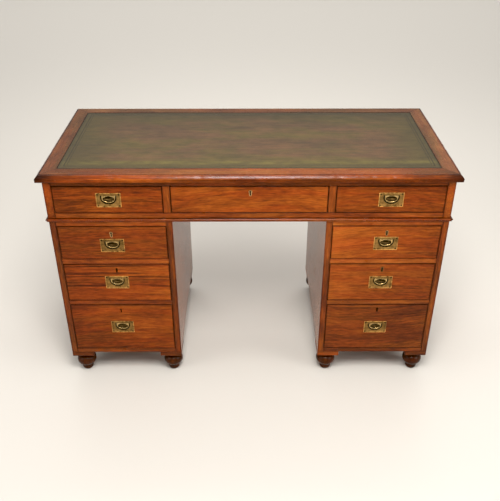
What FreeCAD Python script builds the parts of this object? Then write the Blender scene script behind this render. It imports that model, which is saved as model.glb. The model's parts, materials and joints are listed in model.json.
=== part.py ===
import FreeCAD, Part
import math
import os
import Sketcher

# Three-section pedestal desk in the campaign manner: a leather-topped frieze section that
# lifts off two drawer pedestals.  Millimetres, +Z up, +X to the sitter's right as the front is
# looked at, the front faces -Y.  Origin: floor level under the middle of the top.

V = FreeCAD.Vector
os.makedirs("parts", exist_ok=True)
doc = FreeCAD.newDocument("PedestalDesk")

# ---------------------------------------------------------------- driving dimensions
DIMENSIONS = [
    ("top_width", 1270, "top, left to right over the moulding"),
    ("top_depth", 584, "top, front to back over the moulding"),
    ("top_level", 778, "height of the writing surface's border"),
    ("top_thick", 22, "thickness of the top"),
    ("border_width", 56, "mitred border round the leather"),
    ("edge_back", 13, "how far the thumb moulding runs back on the top"),
    ("edge_step", 1.3, "quirk between the flat and the thumb moulding"),
    ("edge_flat", 12, "upright flat at the foot of the moulding"),
    ("tongue", 6, "tongue of the middle panel, square"),
    ("leather_thick", 1.5, "skiver"),
    ("leather_sunk", 0.5, "leather below the border"),
    ("half_depth", 278, "carcass, middle to front face"),
    ("frieze_half", 618, "frieze section, middle to side face"),
    ("frieze_side", 24, "frieze side thickness"),
    ("frieze_foot", 619, "underside of the frieze section"),
    ("low_rail_top", 648, "top of the rail under the frieze drawers"),
    ("high_rail_foot", 739, "underside of the rail over them"),
    ("rail_deep", 40, "front to back size of the frieze rails"),
    ("divider_at", 250, "middle of the upright between drawers"),
    ("divider_thick", 23, "its thickness"),
    ("base_thick", 12, "board under the frieze section"),
    ("frieze_back_thick", 18, "back of the frieze section"),
    ("waist_high", 11.5, "waist moulding, height"),
    ("waist_out", 6.5, "waist moulding, projection"),
    ("ped_outer", 617, "pedestal, outer side face"),
    ("ped_inner", 237, "pedestal, knee-hole side face"),
    ("ped_side", 20, "pedestal side thickness"),
    ("ped_foot", 97, "underside of the pedestal carcass"),
    ("ped_back", 14, "pedestal back boards"),
    ("shelf_a", 114, "top of the bottom board"),
    ("shelf_b", 302, "foot of the lower rail"),
    ("shelf_c", 319, "top of the lower rail"),
    ("shelf_d", 463, "foot of the upper rail"),
    ("shelf_e", 481, "top of the upper rail"),
    ("shelf_f", 602, "foot of the top board"),
    ("ped_rail_deep", 45, "front to back size of the pedestal rails"),
    ("runner_wide", 24, "drawer runner width"),
    ("peg_radius", 8, "locating peg"),
    ("peg_up", 9, "how far a peg stands into the frieze section"),
    ("peg_at", 175, "peg, front to back from the middle"),
    ("block_size", 74, "corner block over each foot"),
    ("block_thick", 18.5, "its thickness"),
    ("foot_bun", 33, "foot, radius of its bun"),
    ("foot_ball", 19.5, "foot, radius of the small ball under the bun"),
    ("foot_toe", 14, "foot, radius on the floor"),
    ("foot_outer", 37, "middle of an outer foot, from the pedestal's outer face"),
    ("foot_inner", 34, "middle of an inner foot, from the knee-hole face"),
    ("gap_side", 1.4, "beside a drawer front"),
    ("gap_over", 1.9, "over a drawer front"),
    ("gap_under", 0.8, "under a drawer front"),
    ("front_thick", 22, "drawer front"),
    ("lining", 10, "drawer side and back"),
    ("side_play", 1.6, "between drawer side and carcass"),
    ("drawer_lift", 0.3, "drawer over its runners"),
    ("bottom_thick", 6, "drawer bottom"),
    ("bottom_up", 8, "drawer bottom over the runner"),
    ("groove", 4, "depth of the bottom's groove"),
    ("drawer_back_at", 236, "back face of the drawer box"),
    ("tail_long", 15, "dovetail, length"),
    ("plate_wide", 76, "handle plate"),
    ("plate_high", 48, "handle plate"),
    ("plate_thick", 3, "handle plate"),
    ("plate_proud", 0.3, "handle plate proud of the drawer front"),
    ("recess_deep", 5.2, "seat of the bail"),
    ("recess_half", 23.8, "seat of the bail, half width"),
    ("recess_drop", 20.5, "seat of the bail, fall of its curve"),
    ("bail_half", 21.2, "bail, half width"),
    ("bail_drop", 17.2, "bail, fall of its curve"),
    ("bail_thick", 4, "bail"),
    ("bail_top", 14.5, "top of the bail over the plate's middle"),
    ("curve_at", 7, "where the bail's curve springs"),
    ("hole_up", 3, "finger hole, middle over the plate's middle"),
    ("hole_half", 17.3, "finger hole, half width"),
    ("hole_high", 8.8, "finger hole, half height"),
    ("pin_radius", 1.25, "bail pivot"),
    ("pin_bore", 1.32, "its bore"),
    ("pin_level", 12.5, "pivot over the plate's middle"),
    ("lock_wide", 56, "lock case"),
    ("lock_high", 40, "lock case"),
    ("lock_thick", 10, "lock case"),
]
sheet = doc.addObject("Spreadsheet::Sheet", "dims")
sheet.Label = "dims"
for row, (alias, number, words) in enumerate(DIMENSIONS, 1):
    sheet.set(f"A{row}", alias)
    sheet.set(f"B{row}", str(number))
    sheet.setAlias(f"B{row}", alias)
    sheet.set(f"C{row}", words)
doc.recompute()


class Size:
    """A length that is both a number and the expression over the sheet that gives it."""

    def __init__(self, text, number):
        self.text, self.number = text, float(number)

    @staticmethod
    def of(value):
        if isinstance(value, Size):
            return value
        return Size(f"{float(value):.6g}" if value >= 0 else f"(0 - {-float(value):.6g})", value)

    def __add__(self, other):
        other = Size.of(other)
        return Size(f"({self.text} + {other.text})", self.number + other.number)

    def __sub__(self, other):
        other = Size.of(other)
        return Size(f"({self.text} - {other.text})", self.number - other.number)

    def __mul__(self, other):
        other = Size.of(other)
        return Size(f"({self.text} * {other.text})", self.number * other.number)

    def __truediv__(self, other):
        other = Size.of(other)
        return Size(f"({self.text} / {other.text})", self.number / other.number)

    def __radd__(self, other):
        return Size.of(other) + self

    def __rsub__(self, other):
        return Size.of(other) - self

    def __neg__(self):
        return Size(f"(0 - {self.text})", -self.number)


class Sheet:
    def __init__(self, rows):
        for alias, number, _ in rows:
            setattr(self, alias, Size(f"dims.{alias}", number))


d = Sheet(DIMENSIONS)
ALONG_X = FreeCAD.Rotation(V(0, 1, 0), 90)
ALONG_Y = FreeCAD.Rotation(V(1, 0, 0), -90)


# ---------------------------------------------------------------- helpers
def bind(thing, **sizes):
    for name, size in sizes.items():
        thing.setExpression(name, Size.of(size).text)
    return thing


def place(thing, x, y, z, rotation=None):
    if rotation is not None:
        thing.Placement = FreeCAD.Placement(V(0, 0, 0), rotation)
    for axis, size in zip("xyz", (x, y, z)):
        thing.setExpression(f"Placement.Base.{axis}", Size.of(size).text)
    return thing


def box(x0, x1, y0, y1, z0, z1, name="board"):
    x0, x1, y0, y1, z0, z1 = (Size.of(q) for q in (x0, x1, y0, y1, z0, z1))
    b = doc.addObject("Part::Box", name)
    bind(b, Length=x1 - x0, Width=y1 - y0, Height=z1 - z0)
    return place(b, x0, y0, z0)


def rod(x, y, z, radius, length, rotation=None, name="rod"):
    c = doc.addObject("Part::Cylinder", name)
    bind(c, Radius=radius, Height=length)
    return place(c, x, y, z, rotation)


def cone(x, y, z, r1, r2, length, rotation=None, name="cone"):
    c = doc.addObject("Part::Cone", name)
    bind(c, Radius1=r1, Radius2=r2, Height=length)
    return place(c, x, y, z, rotation)


def cut(base, tools, name="cut"):
    tools = list(tools)
    if not tools:
        return base
    tool = tools[0] if len(tools) == 1 else fuse(tools, name + "_tools")
    c = doc.addObject("Part::Cut", name)
    c.Base, c.Tool = base, tool
    return c


def fuse(things, name="fuse"):
    f = doc.addObject("Part::MultiFuse", name)
    f.Shapes = list(things)
    return f


def common(things, name="common"):
    c = doc.addObject("Part::MultiCommon", name)
    c.Shapes = list(things)
    return c


def rounded(base, radius, test, name="rounded"):
    """Part::Fillet on the edges that test(edge) picks, all of one radius."""
    doc.recompute()
    picked = [(i + 1, radius, radius) for i, e in enumerate(base.Shape.Edges) if test(e)]
    f = doc.addObject("Part::Fillet", name)
    f.Base = base
    f.Edges = picked
    return f


def elliptic(x, y, z, half_wide, half_high, length, name="ellipse"):
    """Solid of elliptic section in XZ, length along +Y."""
    e = doc.addObject("Part::Ellipse", name + "_line")
    bind(e, MajorRadius=half_wide, MinorRadius=half_high)
    place(e, x, y, z, FreeCAD.Rotation(V(1, 0, 0), 90))
    s = doc.addObject("Part::Extrusion", name)
    s.Base = e
    s.DirMode = "Custom"
    s.Dir = V(0, 1, 0)
    s.Solid = True
    bind(s, LengthFwd=length)
    return s


NODES = []


def node(label, parts):
    """A sub-part: one object, or several separate solids gathered in one compound."""
    parts = list(parts)
    if len(parts) == 1:
        piece = parts[0]
    else:
        piece = doc.addObject("Part::Compound", "group")
        piece.Links = parts
    piece.Label = label
    NODES.append(piece)
    return piece


def outline(body, role, corners, name):
    """Closed sketch in a plane of the body's own origin.  corners: (x, y) or (x, y, bulge), where a
    bulge makes the side that leaves that corner an arc of that sagitta, to the right of travel."""
    plane = [f for f in body.Origin.OriginFeatures if f.Role == role][0]
    s = body.newObject("Sketcher::SketchObject", name)
    s.AttachmentSupport = [(plane, "")]
    s.MapMode = "FlatFace"
    points = [V(Size.of(c[0]).number, Size.of(c[1]).number, 0) for c in corners]
    total = len(points)
    ends, radii = [], []  # ends: the side's point at its corner and at the next one
    for i in range(total):
        a, b = points[i], points[(i + 1) % total]
        sag = corners[i][2] if len(corners[i]) > 2 else 0
        if sag:
            half = (b - a).Length / 2
            radius = (half * half + sag * sag) / (2 * abs(sag))
            right = V((b - a).y, -(b - a).x, 0).normalize()
            centre = (a + b) * 0.5 + right * (sag - radius if sag > 0 else sag + radius)
            first, last = (a, b) if sag > 0 else (b, a)  # arcs are kept anticlockwise
            a0 = math.atan2(first.y - centre.y, first.x - centre.x)
            a1 = math.atan2(last.y - centre.y, last.x - centre.x)
            a1 += 2 * math.pi if a1 <= a0 else 0
            s.addGeometry(Part.ArcOfCircle(Part.Circle(centre, V(0, 0, 1), radius), a0, a1), False)
            ends.append((1, 2) if sag > 0 else (2, 1))
            radii.append((i, radius))
        else:
            s.addGeometry(Part.LineSegment(a, b), False)
            ends.append((1, 2))
    for i in range(total):
        j = (i + 1) % total
        s.addConstraint(Sketcher.Constraint("Coincident", i, ends[i][1], j, ends[j][0]))
    for i, radius in radii:
        s.addConstraint(Sketcher.Constraint("Radius", i, radius))
    for i, corner in enumerate(corners):
        for kind, axis, size in (("DistanceX", -2, corner[0]), ("DistanceY", -1, corner[1])):
            size = Size.of(size)
            if abs(size.number) < 1e-9:
                s.addConstraint(Sketcher.Constraint("PointOnObject", i, ends[i][0], axis))
            else:
                k = s.addConstraint(Sketcher.Constraint(kind, -1, 1, i, ends[i][0], size.number))
                s.setExpression(f"Constraints[{k}]", size.text)
    return s


def pad(body, sketch, length, reverse=False, midplane=False):
    p = body.newObject("PartDesign::Pad", "Pad")
    p.Profile = sketch
    bind(p, Length=length)
    p.Reversed = reverse
    p.Midplane = midplane
    body.Tip = p
    return p


def new_body(name):
    return doc.addObject("PartDesign::Body", name)


YF = -d.half_depth  # front face of the carcass and of the drawer fronts
YB = d.half_depth


# ---------------------------------------------------------------- the top
half_w, half_d = d.top_width / 2, d.top_depth / 2
under = d.top_level - d.top_thick


def border_profile(body, role, sign, half):
    """Section of a border board: thumb moulding outside, square inside; sign is the outer side."""
    out, step = half * sign, d.top_level - d.edge_step
    corners = [
        (out - (d.border_width * sign), under),
        (out, under),
        (out, under + d.edge_flat, 2.9 * sign),
        (out - (d.edge_back * sign), step),
        (out - (d.edge_back * sign), d.top_level),
        (out - (d.border_width * sign), d.top_level),
    ]
    return outline(body, role, corners, "section")


def mitre(sign, along_x):
    """Trapezium in plan that leaves each border board its 45 degree ends."""
    w = doc.addObject("Part::Wedge", "mitre")
    long_side, other = (half_w, half_d) if along_x else (half_d, half_w)
    bind(
        w,
        Xmin=-long_side, Xmax=long_side,
        X2min=-(long_side - d.border_width), X2max=long_side - d.border_width,
        Ymin=0, Ymax=d.border_width,
        Zmin=0, Zmax=d.top_thick + 2, Z2min=0, Z2max=d.top_thick + 2,
    )
    turn = {(True, -1): 0, (True, 1): 180, (False, 1): 90, (False, -1): -90}[(along_x, sign)]
    x = 0 if along_x else other * sign
    y = other * sign if along_x else 0
    return place(w, x, y, under - 1, FreeCAD.Rotation(V(0, 0, 1), turn))


tongue_low = under + 7
tongue_slot = box(
    -half_w + d.border_width - d.tongue - 0.3, half_w - d.border_width + d.tongue + 0.3,
    -half_d + d.border_width - d.tongue - 0.3, half_d - d.border_width + d.tongue + 0.3,
    tongue_low, tongue_low + d.tongue, "tongue_slot",
)
borders = []
for along_x, sign in ((True, -1), (True, 1), (False, -1), (False, 1)):
    body = new_body("border_board")
    if along_x:
        sketch = border_profile(body, "YZ_Plane", sign, half_d)
        pad(body, sketch, d.top_width, midplane=True)
    else:
        sketch = border_profile(body, "XZ_Plane", sign, half_w)
        pad(body, sketch, d.top_depth, midplane=True)
    ends = common([body, mitre(sign, along_x)], "mitred")
    borders.append(cut(ends, [tongue_slot], "border"))
node("top_border", borders)

panel = fuse(
    [
        box(
            -half_w + d.border_width, half_w - d.border_width,
            -half_d + d.border_width, half_d - d.border_width,
            under, d.top_level - d.leather_sunk - d.leather_thick, "panel",
        ),
        box(
            -half_w + d.border_width - d.tongue, half_w - d.border_width + d.tongue,
            -half_d + d.border_width - d.tongue, half_d - d.border_width + d.tongue,
            tongue_low, tongue_low + d.tongue, "tongues",
        ),
    ],
    "tongued_panel",
)
node("top_panel", [panel])

leather = new_body("leather")
lx, ly = half_w - d.border_width, half_d - d.border_width
sketch = outline(leather, "XY_Plane", [(-lx, -ly), (lx, -ly), (lx, ly), (-lx, ly)], "skiver")
pad(leather, sketch, d.leather_thick)
place(leather, 0, 0, d.top_level - d.leather_sunk - d.leather_thick)
node("writing_leather", [leather])

# ---------------------------------------------------------------- the frieze section
inner = d.frieze_half - d.frieze_side
node(
    "frieze_sides",
    [
        box(-d.frieze_half, -inner, YF, YB, d.frieze_foot, under, "frieze_side"),
        box(inner, d.frieze_half, YF, YB, d.frieze_foot, under, "frieze_side"),
    ],
)
node(
    "frieze_back",
    [box(-inner, inner, YB - d.frieze_back_thick, YB, d.frieze_foot, under, "frieze_back")],
)
rail_back = YF + d.rail_deep
uprights = []
for s in (-1, 1):
    mid = d.divider_at * s
    uprights.append(
        box(
            mid - d.divider_thick / 2, mid + d.divider_thick / 2, YF, rail_back,
            d.low_rail_top, d.high_rail_foot, "divider",
        )
    )
node(
    "frieze_front_frame",
    [
        box(-inner, inner, YF, rail_back, d.high_rail_foot, under, "top_rail"),
        box(-inner, inner, YF, rail_back, d.frieze_foot, d.low_rail_top, "bottom_rail"),
        *uprights,
    ],
)
back_in = YB - d.frieze_back_thick
base_top = d.frieze_foot + d.base_thick
ped_mid = (d.ped_outer + d.ped_inner) / 2
peg_holes = [
    rod(ped_mid * sx, d.peg_at * sy, d.frieze_foot - 1, d.peg_radius + 0.4, d.base_thick + 2, name="peg_hole")
    for sx in (-1, 1)
    for sy in (-1, 1)
]
node(
    "frieze_base_board",
    [cut(box(-inner, inner, rail_back, back_in, d.frieze_foot, base_top, "base"), peg_holes, "base_board")],
)
strips = []
for s in (-1, 1):
    edges = sorted([(inner * s), ((inner - d.runner_wide) * s)], key=lambda q: q.number)
    mid = d.divider_at * s
    half = d.divider_thick / 2 + 16
    for a, b in ((edges[0], edges[1]), (mid - half, mid + half)):
        strips.append(box(a, b, rail_back, back_in, base_top, d.low_rail_top, "runner"))
        strips.append(box(a, b, rail_back, back_in, d.high_rail_foot, under, "kicker"))
    strips.append(
        box(
            mid - d.divider_thick / 2, mid + d.divider_thick / 2, rail_back, back_in,
            d.low_rail_top, d.low_rail_top + 24, "guide",
        )
    )
# drawer stops on the bottom rail, two behind each drawer front
stop_front = YF + d.front_thick + 0.1
for x in (-492, -366, -150, 150, 366, 492):
    strips.append(
        box(Size.of(x) - 18, Size.of(x) + 18, stop_front, rail_back, d.low_rail_top, d.low_rail_top + 5, "stop")
    )
node("frieze_runners", strips)

# waist moulding: a bead over a smaller nosing, round the front and both sides of the frieze's foot
waist = []
wz0, wz1 = d.frieze_foot, d.frieze_foot + d.waist_high


def bead(body, role, face, sign):
    stem = face + ((d.waist_out - 3.1) * sign)
    corners = [
        (face, wz0),
        (stem, wz0, 0.8 * sign),
        (stem, wz0 + 3.2),
        (face + (1.6 * sign), wz0 + 3.2),
        (face + (1.6 * sign), wz0 + 4.0),
        (stem, wz0 + 4.0, 3.1 * sign),
        (stem, wz1 - 1.2),
        (face + (1.8 * sign), wz1 - 1.2),
        (face + (1.8 * sign), wz1),
        (face, wz1),
    ]
    return outline(body, role, corners, "bead")


front_bead = new_body("bead_front")
pad(front_bead, bead(front_bead, "YZ_Plane", YF, -1), d.frieze_half * 2 + d.waist_out * 2, midplane=True)
plan = doc.addObject("Part::Wedge", "bead_mitre")
reach = d.waist_out + 1
bind(
    plan,
    Xmin=-(d.frieze_half + reach), Xmax=d.frieze_half + reach,
    X2min=-d.frieze_half, X2max=d.frieze_half,
    Ymin=0, Ymax=reach, Zmin=0, Zmax=d.waist_high + 2, Z2min=0, Z2max=d.waist_high + 2,
)
place(plan, 0, YF - reach, wz0 - 1)
waist.append(common([front_bead, plan], "waist_front"))
for s in (-1, 1):
    body = new_body("bead_side")
    pad(body, bead(body, "XZ_Plane", d.frieze_half * s, s), d.half_depth * 2 + d.waist_out * 2, midplane=True)
    end = box(
        *( (-(d.frieze_half + reach), -d.frieze_half + 0) if s < 0 else (d.frieze_half, d.frieze_half + reach) ),
        YF - reach, YB, wz0 - 1, wz1 + 1, "side_reach",
    )
    waist.append(cut(common([body, end], "waist_side_long"), [plan], "waist_side"))
node("waist_moulding", waist)


# ---------------------------------------------------------------- the pedestals
def foot(x, y):
    """Turned foot with its spigot: small ball, quirk, broad bun, collar."""
    top = d.ped_foot - d.block_thick
    bun, ball, toe = d.foot_bun, d.foot_ball, d.foot_toe
    f = new_body("turned_foot")
    corners = [
        (0, 0),
        (toe, 0, 2.0),
        (ball, 12, 0.5),
        (ball - 0.5, 19.5),
        (ball - 2.7, 20.5),
        (ball - 2.7, 22.5),
        (bun - 11, 23.5, 11.0),
        (bun - 11, 61.5),
        (bun - 14.5, 62.5),
        (bun - 14.5, 64.5),
        (bun - 12, 65.5, 2.4),
        (bun - 12, top - 4),
        (bun - 14, top - 3),
        (bun - 14, top),
        (11, top),
        (11, top + d.block_thick + 9),
        (0, top + d.block_thick + 9),
    ]
    s = outline(f, "XZ_Plane", corners, "turning")
    r = f.newObject("PartDesign::Revolution", "Turning")
    r.Profile = s
    r.ReferenceAxis = (s, ["V_Axis"])
    r.Angle = 360
    f.Tip = r
    return place(f, x, y, 0)


def pedestal(side):
    s = -1 if side == "left" else 1

    def span(a, b):
        """a and b are distances from the desk's middle; gives x low and x high for this side."""
        p, q = a * s, b * s
        return (p, q) if p.number < q.number else (q, p)

    out, inn, t = d.ped_outer, d.ped_inner, d.ped_side
    node(
        f"{side}_pedestal_sides",
        [
            box(*span(out - t, out), YF, YB, d.ped_foot, d.frieze_foot, "outer_side"),
            box(*span(inn, inn + t), YF, YB, d.ped_foot, d.frieze_foot, "inner_side"),
        ],
    )
    back_face = YB - d.ped_back
    third = (out - inn - t * 2) / 3
    boards = [
        box(*span(inn + t + third * k, inn + t + third * (k + 1)), back_face, YB, d.ped_foot, d.frieze_foot, "back_board")
        for k in range(3)
    ]
    boards = [
        rounded(
            b, 1.6,
            lambda e: abs(e.BoundBox.YMin - YB.number) < 1e-6 and e.BoundBox.ZLength > 100 and e.BoundBox.YLength < 1e-6,
            "beaded_board",
        )
        for b in boards
    ]
    node(f"{side}_pedestal_back", boards)

    mid = ped_mid * s
    peg_sink = 10
    pegs = [
        rod(mid, d.peg_at * sy, d.frieze_foot - peg_sink, d.peg_radius, d.peg_up + peg_sink, name="peg")
        for sy in (-1, 1)
    ]
    pegs = [
        rounded(p, 2.5, lambda e: abs(e.BoundBox.ZMin - (d.frieze_foot + d.peg_up).number) < 1e-4, "locating_peg")
        for p in pegs
    ]
    sinks = [
        rod(mid, d.peg_at * sy, d.frieze_foot - peg_sink, d.peg_radius + 0.05, peg_sink + 1, name="peg_sink")
        for sy in (-1, 1)
    ]
    top_board = cut(
        box(*span(inn + t, out - t), YF, back_face, d.shelf_f, d.frieze_foot, "top_board"), sinks, "bored_top_board"
    )
    half_block = d.block_size / 2
    centres = [
        (x * s, foot_x * s, y)
        for x, foot_x in ((out - half_block, out - d.foot_outer), (inn + half_block, inn + d.foot_inner))
        for y in (YF + half_block, YB - half_block)
    ]
    sockets = [rod(x, y, d.ped_foot - 1, 11.05, 10.2, name="spigot_hole") for _, x, y in centres]
    bottom_board = box(*span(inn + t, out - t), YF, back_face, d.ped_foot, d.shelf_a, "bottom_board")
    bottom_board = cut(bottom_board, sockets, "bored_bottom_board")
    node(f"{side}_pedestal_boards", [top_board, bottom_board, *pegs])

    frames = []
    for low, high in ((d.shelf_b, d.shelf_c), (d.shelf_d, d.shelf_e)):
        frames.append(box(*span(inn + t, out - t), YF, YF + d.ped_rail_deep, low, high, "rail"))
        for a, b in ((inn + t, inn + t + d.runner_wide), (out - t - d.runner_wide, out - t)):
            frames.append(box(*span(a, b), YF + d.ped_rail_deep, back_face, low, high, "runner"))
    for level in (d.shelf_a, d.shelf_c, d.shelf_e):
        for off in (-95, 95):
            frames.append(
                box(
                    mid + (off - 18), mid + (off + 18), stop_front, YF + d.ped_rail_deep,
                    level, level + 5, "stop",
                )
            )
    node(f"{side}_pedestal_drawer_frames", frames)

    feet = []
    for x, foot_x, y in centres:
        block = box(
            x - half_block, x + half_block, y - half_block, y + half_block,
            d.ped_foot - d.block_thick, d.ped_foot, "block",
        )
        block = rounded(
            block, 2.0,
            lambda e: abs(e.BoundBox.ZMax - (d.ped_foot - d.block_thick).number) < 1e-6,
            "eased_block",
        )
        hole = rod(foot_x, y, d.ped_foot - d.block_thick - 1, 11.05, d.block_thick + 2, name="block_hole")
        feet += [cut(block, [hole], "foot_block"), foot(foot_x, y)]
    node(f"{side}_pedestal_feet", feet)


pedestal("left")
pedestal("right")


# ---------------------------------------------------------------- drawers
FACE = YF - d.plate_proud  # front face of the brass plates


def d_solid(xc, zc, half, drop, top, y0, length, name):
    """Half-elliptic below, square above: the outline of the bail and of its seat."""
    oval = elliptic(xc, y0, zc + d.curve_at, half, drop, length, name + "_curve")
    lid = box(xc - half - 1, xc + half + 1, y0 - 1, y0 + length + 1, zc - 40, zc + top, name + "_lid")
    bar = box(xc - half, xc + half, y0, y0 + length, zc + d.curve_at, zc + top, name + "_bar")
    return fuse([common([oval, lid], name + "_low"), bar], name)


def screw_places(xc, zc):
    return [(xc + 32.5 * i, zc + 18.8 * j) for i in (-1, 1) for j in (-1, 1)]


def handle(label, xc, zc):
    """Flush handle: plate with its cup, four countersunk screws, and the bail on its pivots."""
    w, h = d.plate_wide / 2, d.plate_high / 2
    plate = box(xc - w, xc + w, FACE, FACE + d.plate_thick, zc - h, zc + h, "plate")
    plate = rounded(plate, 1.6, lambda e: e.BoundBox.XLength < 1e-6 and e.BoundBox.ZLength < 1e-6, "plate_corners")
    plate = rounded(plate, 0.7, lambda e: abs(e.BoundBox.YMax - FACE.number) < 1e-6, "plate_edge")
    cup = box(xc - 29, xc + 29, FACE + 1.5, FACE + 16.7, zc - 17, zc + 18.5, "cup")
    cup = rounded(cup, 9.0, lambda e: e.BoundBox.XLength < 1e-6 and e.BoundBox.ZLength < 1e-6, "cup_corners")
    seat = d_solid(xc, zc, d.recess_half, d.recess_drop, d.bail_top + 0.7, FACE - 1, d.recess_deep + 1, "seat")
    bowl = doc.addObject("Part::Ellipsoid", "bowl")
    bind(bowl, Radius1=10.2, Radius2=18.5, Radius3=10.0)
    place(bowl, xc, FACE + d.recess_deep, zc + d.hole_up)
    pivot = rod(xc - 28, FACE + 2.2, zc + d.pin_level, d.pin_bore, 56, ALONG_X, "pivot_bore")
    sinks, screws, pilots = [], [], []
    for x, z in screw_places(xc, zc):
        sinks += [
            cone(x, FACE, z, 3.0, 1.5, 1.7, ALONG_Y, "sink"),
            rod(x, FACE - 0.5, z, 1.5, 5, ALONG_Y, "screw_hole"),
        ]
        head = cone(x, FACE + 0.05, z, 2.9, 1.4, 1.6, ALONG_Y, "head")
        shank = rod(x, FACE + 1.5, z, 1.4, 11, ALONG_Y, "shank")
        slot = box(x - 4, x + 4, FACE - 1, FACE + 0.6, z - 0.35, z + 0.35, "slot")
        screws.append(cut(fuse([head, shank], "screw_blank"), [slot], "screw"))
        pilots.append(rod(x, FACE, z, 1.45, 13.2, ALONG_Y, "pilot"))
    plate = cut(fuse([plate, cup], "plate_and_cup"), [seat, bowl, pivot, *sinks], "handle_plate")
    node(f"{label}_handle_plate", [plate, *screws])

    y0 = FACE + 0.2
    blank = d_solid(xc, zc, d.bail_half, d.bail_drop, d.bail_top, y0, d.bail_thick, "bail_blank")
    blank = cut(blank, [elliptic(xc, y0 - 1, zc + d.hole_up, d.hole_half, d.hole_high, d.bail_thick + 2, "finger_hole")], "bail_ring")
    zt = (zc + d.bail_top).number
    blank = rounded(
        blank, 2.6,
        lambda e: abs(e.BoundBox.ZMax - zt) < 1e-5 and e.BoundBox.ZLength < 1e-6 and e.BoundBox.XLength < 1e-6,
        "bail_shoulders",
    )
    y1 = (y0 + d.bail_thick).number
    faces = (y0.number, y1)
    blank = rounded(
        blank, 1.15,
        lambda e: e.BoundBox.YLength < 1e-5 and min(abs(e.BoundBox.YMin - f) for f in faces) < 1e-5
        and e.BoundBox.ZLength > 1e-4,
        "bail_eased",
    )
    pins = [
        rod(xc - 27.5, FACE + 2.2, zc + d.pin_level, d.pin_radius, 8.5, ALONG_X, "pin"),
        rod(xc + 19, FACE + 2.2, zc + d.pin_level, d.pin_radius, 8.5, ALONG_X, "pin"),
    ]
    node(f"{label}_handle_bail", [fuse([blank, *pins], "bail")])

    mortise = box(xc - w, xc + w, YF - 1, FACE + d.plate_thick, zc - h, zc + h, "plate_mortise")
    pocket = box(xc - 29.2, xc + 29.2, YF, FACE + 17.0, zc - 17.2, zc + 18.7, "cup_pocket")
    return [mortise, pocket, *pilots]


def key_shape(xc, zc, grow, y0, length, name):
    """Round-headed keyhole outline: grow 0 is the hole, larger is the escutcheon round it."""
    return fuse(
        [
            rod(xc, y0, zc + 4.6, 2.8 + grow, length, ALONG_Y, name + "_head"),
            box(xc - (1.7 + grow * 0.8), xc + (1.7 + grow * 0.8), y0, y0 + length, zc - 6, zc + 4.6, name + "_leg"),
            rod(xc, y0, zc - 6, 1.7 + grow * 0.8, length, ALONG_Y, name + "_toe"),
        ],
        name,
    )


def lock(label, xc, top, key_z, kind):
    """Cut drawer lock let into the back of the front, its bolt drawn in, and the escutcheon."""
    back = YF + d.front_thick
    half = d.lock_wide / 2
    case = box(xc - half, xc + half, back - d.lock_thick, back, top - d.lock_high, top - 2, "lock_case")
    selvedge = box(xc - half - 6, xc + half + 6, back - d.lock_thick - 2, back, top - 2, top, "selvedge")
    post = rod(xc, back - d.lock_thick - 6, key_z + 4.6, 1.1, 7, ALONG_Y, "key_post")
    bolt_slot = box(xc - 8.3, xc + 8.3, back - 8.3, back - 1.7, top - 22, top + 1, "bolt_slot")
    bolt = box(xc - 8, xc + 8, back - 8, back - 2, top - 21.7, top - 0.1, "bolt")
    body = cut(fuse([case, selvedge, post], "lock_body_blank"), [bolt_slot], "lock_body")
    solids = [body, bolt]
    cuts = [
        box(xc - half - 0.2, xc + half + 0.2, back - d.lock_thick, back + 1, top - d.lock_high - 0.2, top - 1, "lock_bed"),
        box(xc - half - 6.1, xc + half + 6.1, back - d.lock_thick - 2, back + 1, top - 2, top + 1, "selvedge_bed"),
        key_shape(xc, key_z, 0.9 if kind == "worn" else 0, YF - 1, d.front_thick, "keyhole"),
    ]
    if kind == "escutcheon":
        ring = key_shape(xc, key_z, 2.8, YF - 0.25, 2.6, "escutcheon_blank")
        solids.append(cut(ring, [key_shape(xc, key_z, 0, YF - 1, 5, "keyway")], "escutcheon"))
        cuts.append(key_shape(xc, key_z, 2.85, YF - 1, 3.4, "escutcheon_bed"))
    node(f"{label}_lock", solids)
    return cuts


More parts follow.
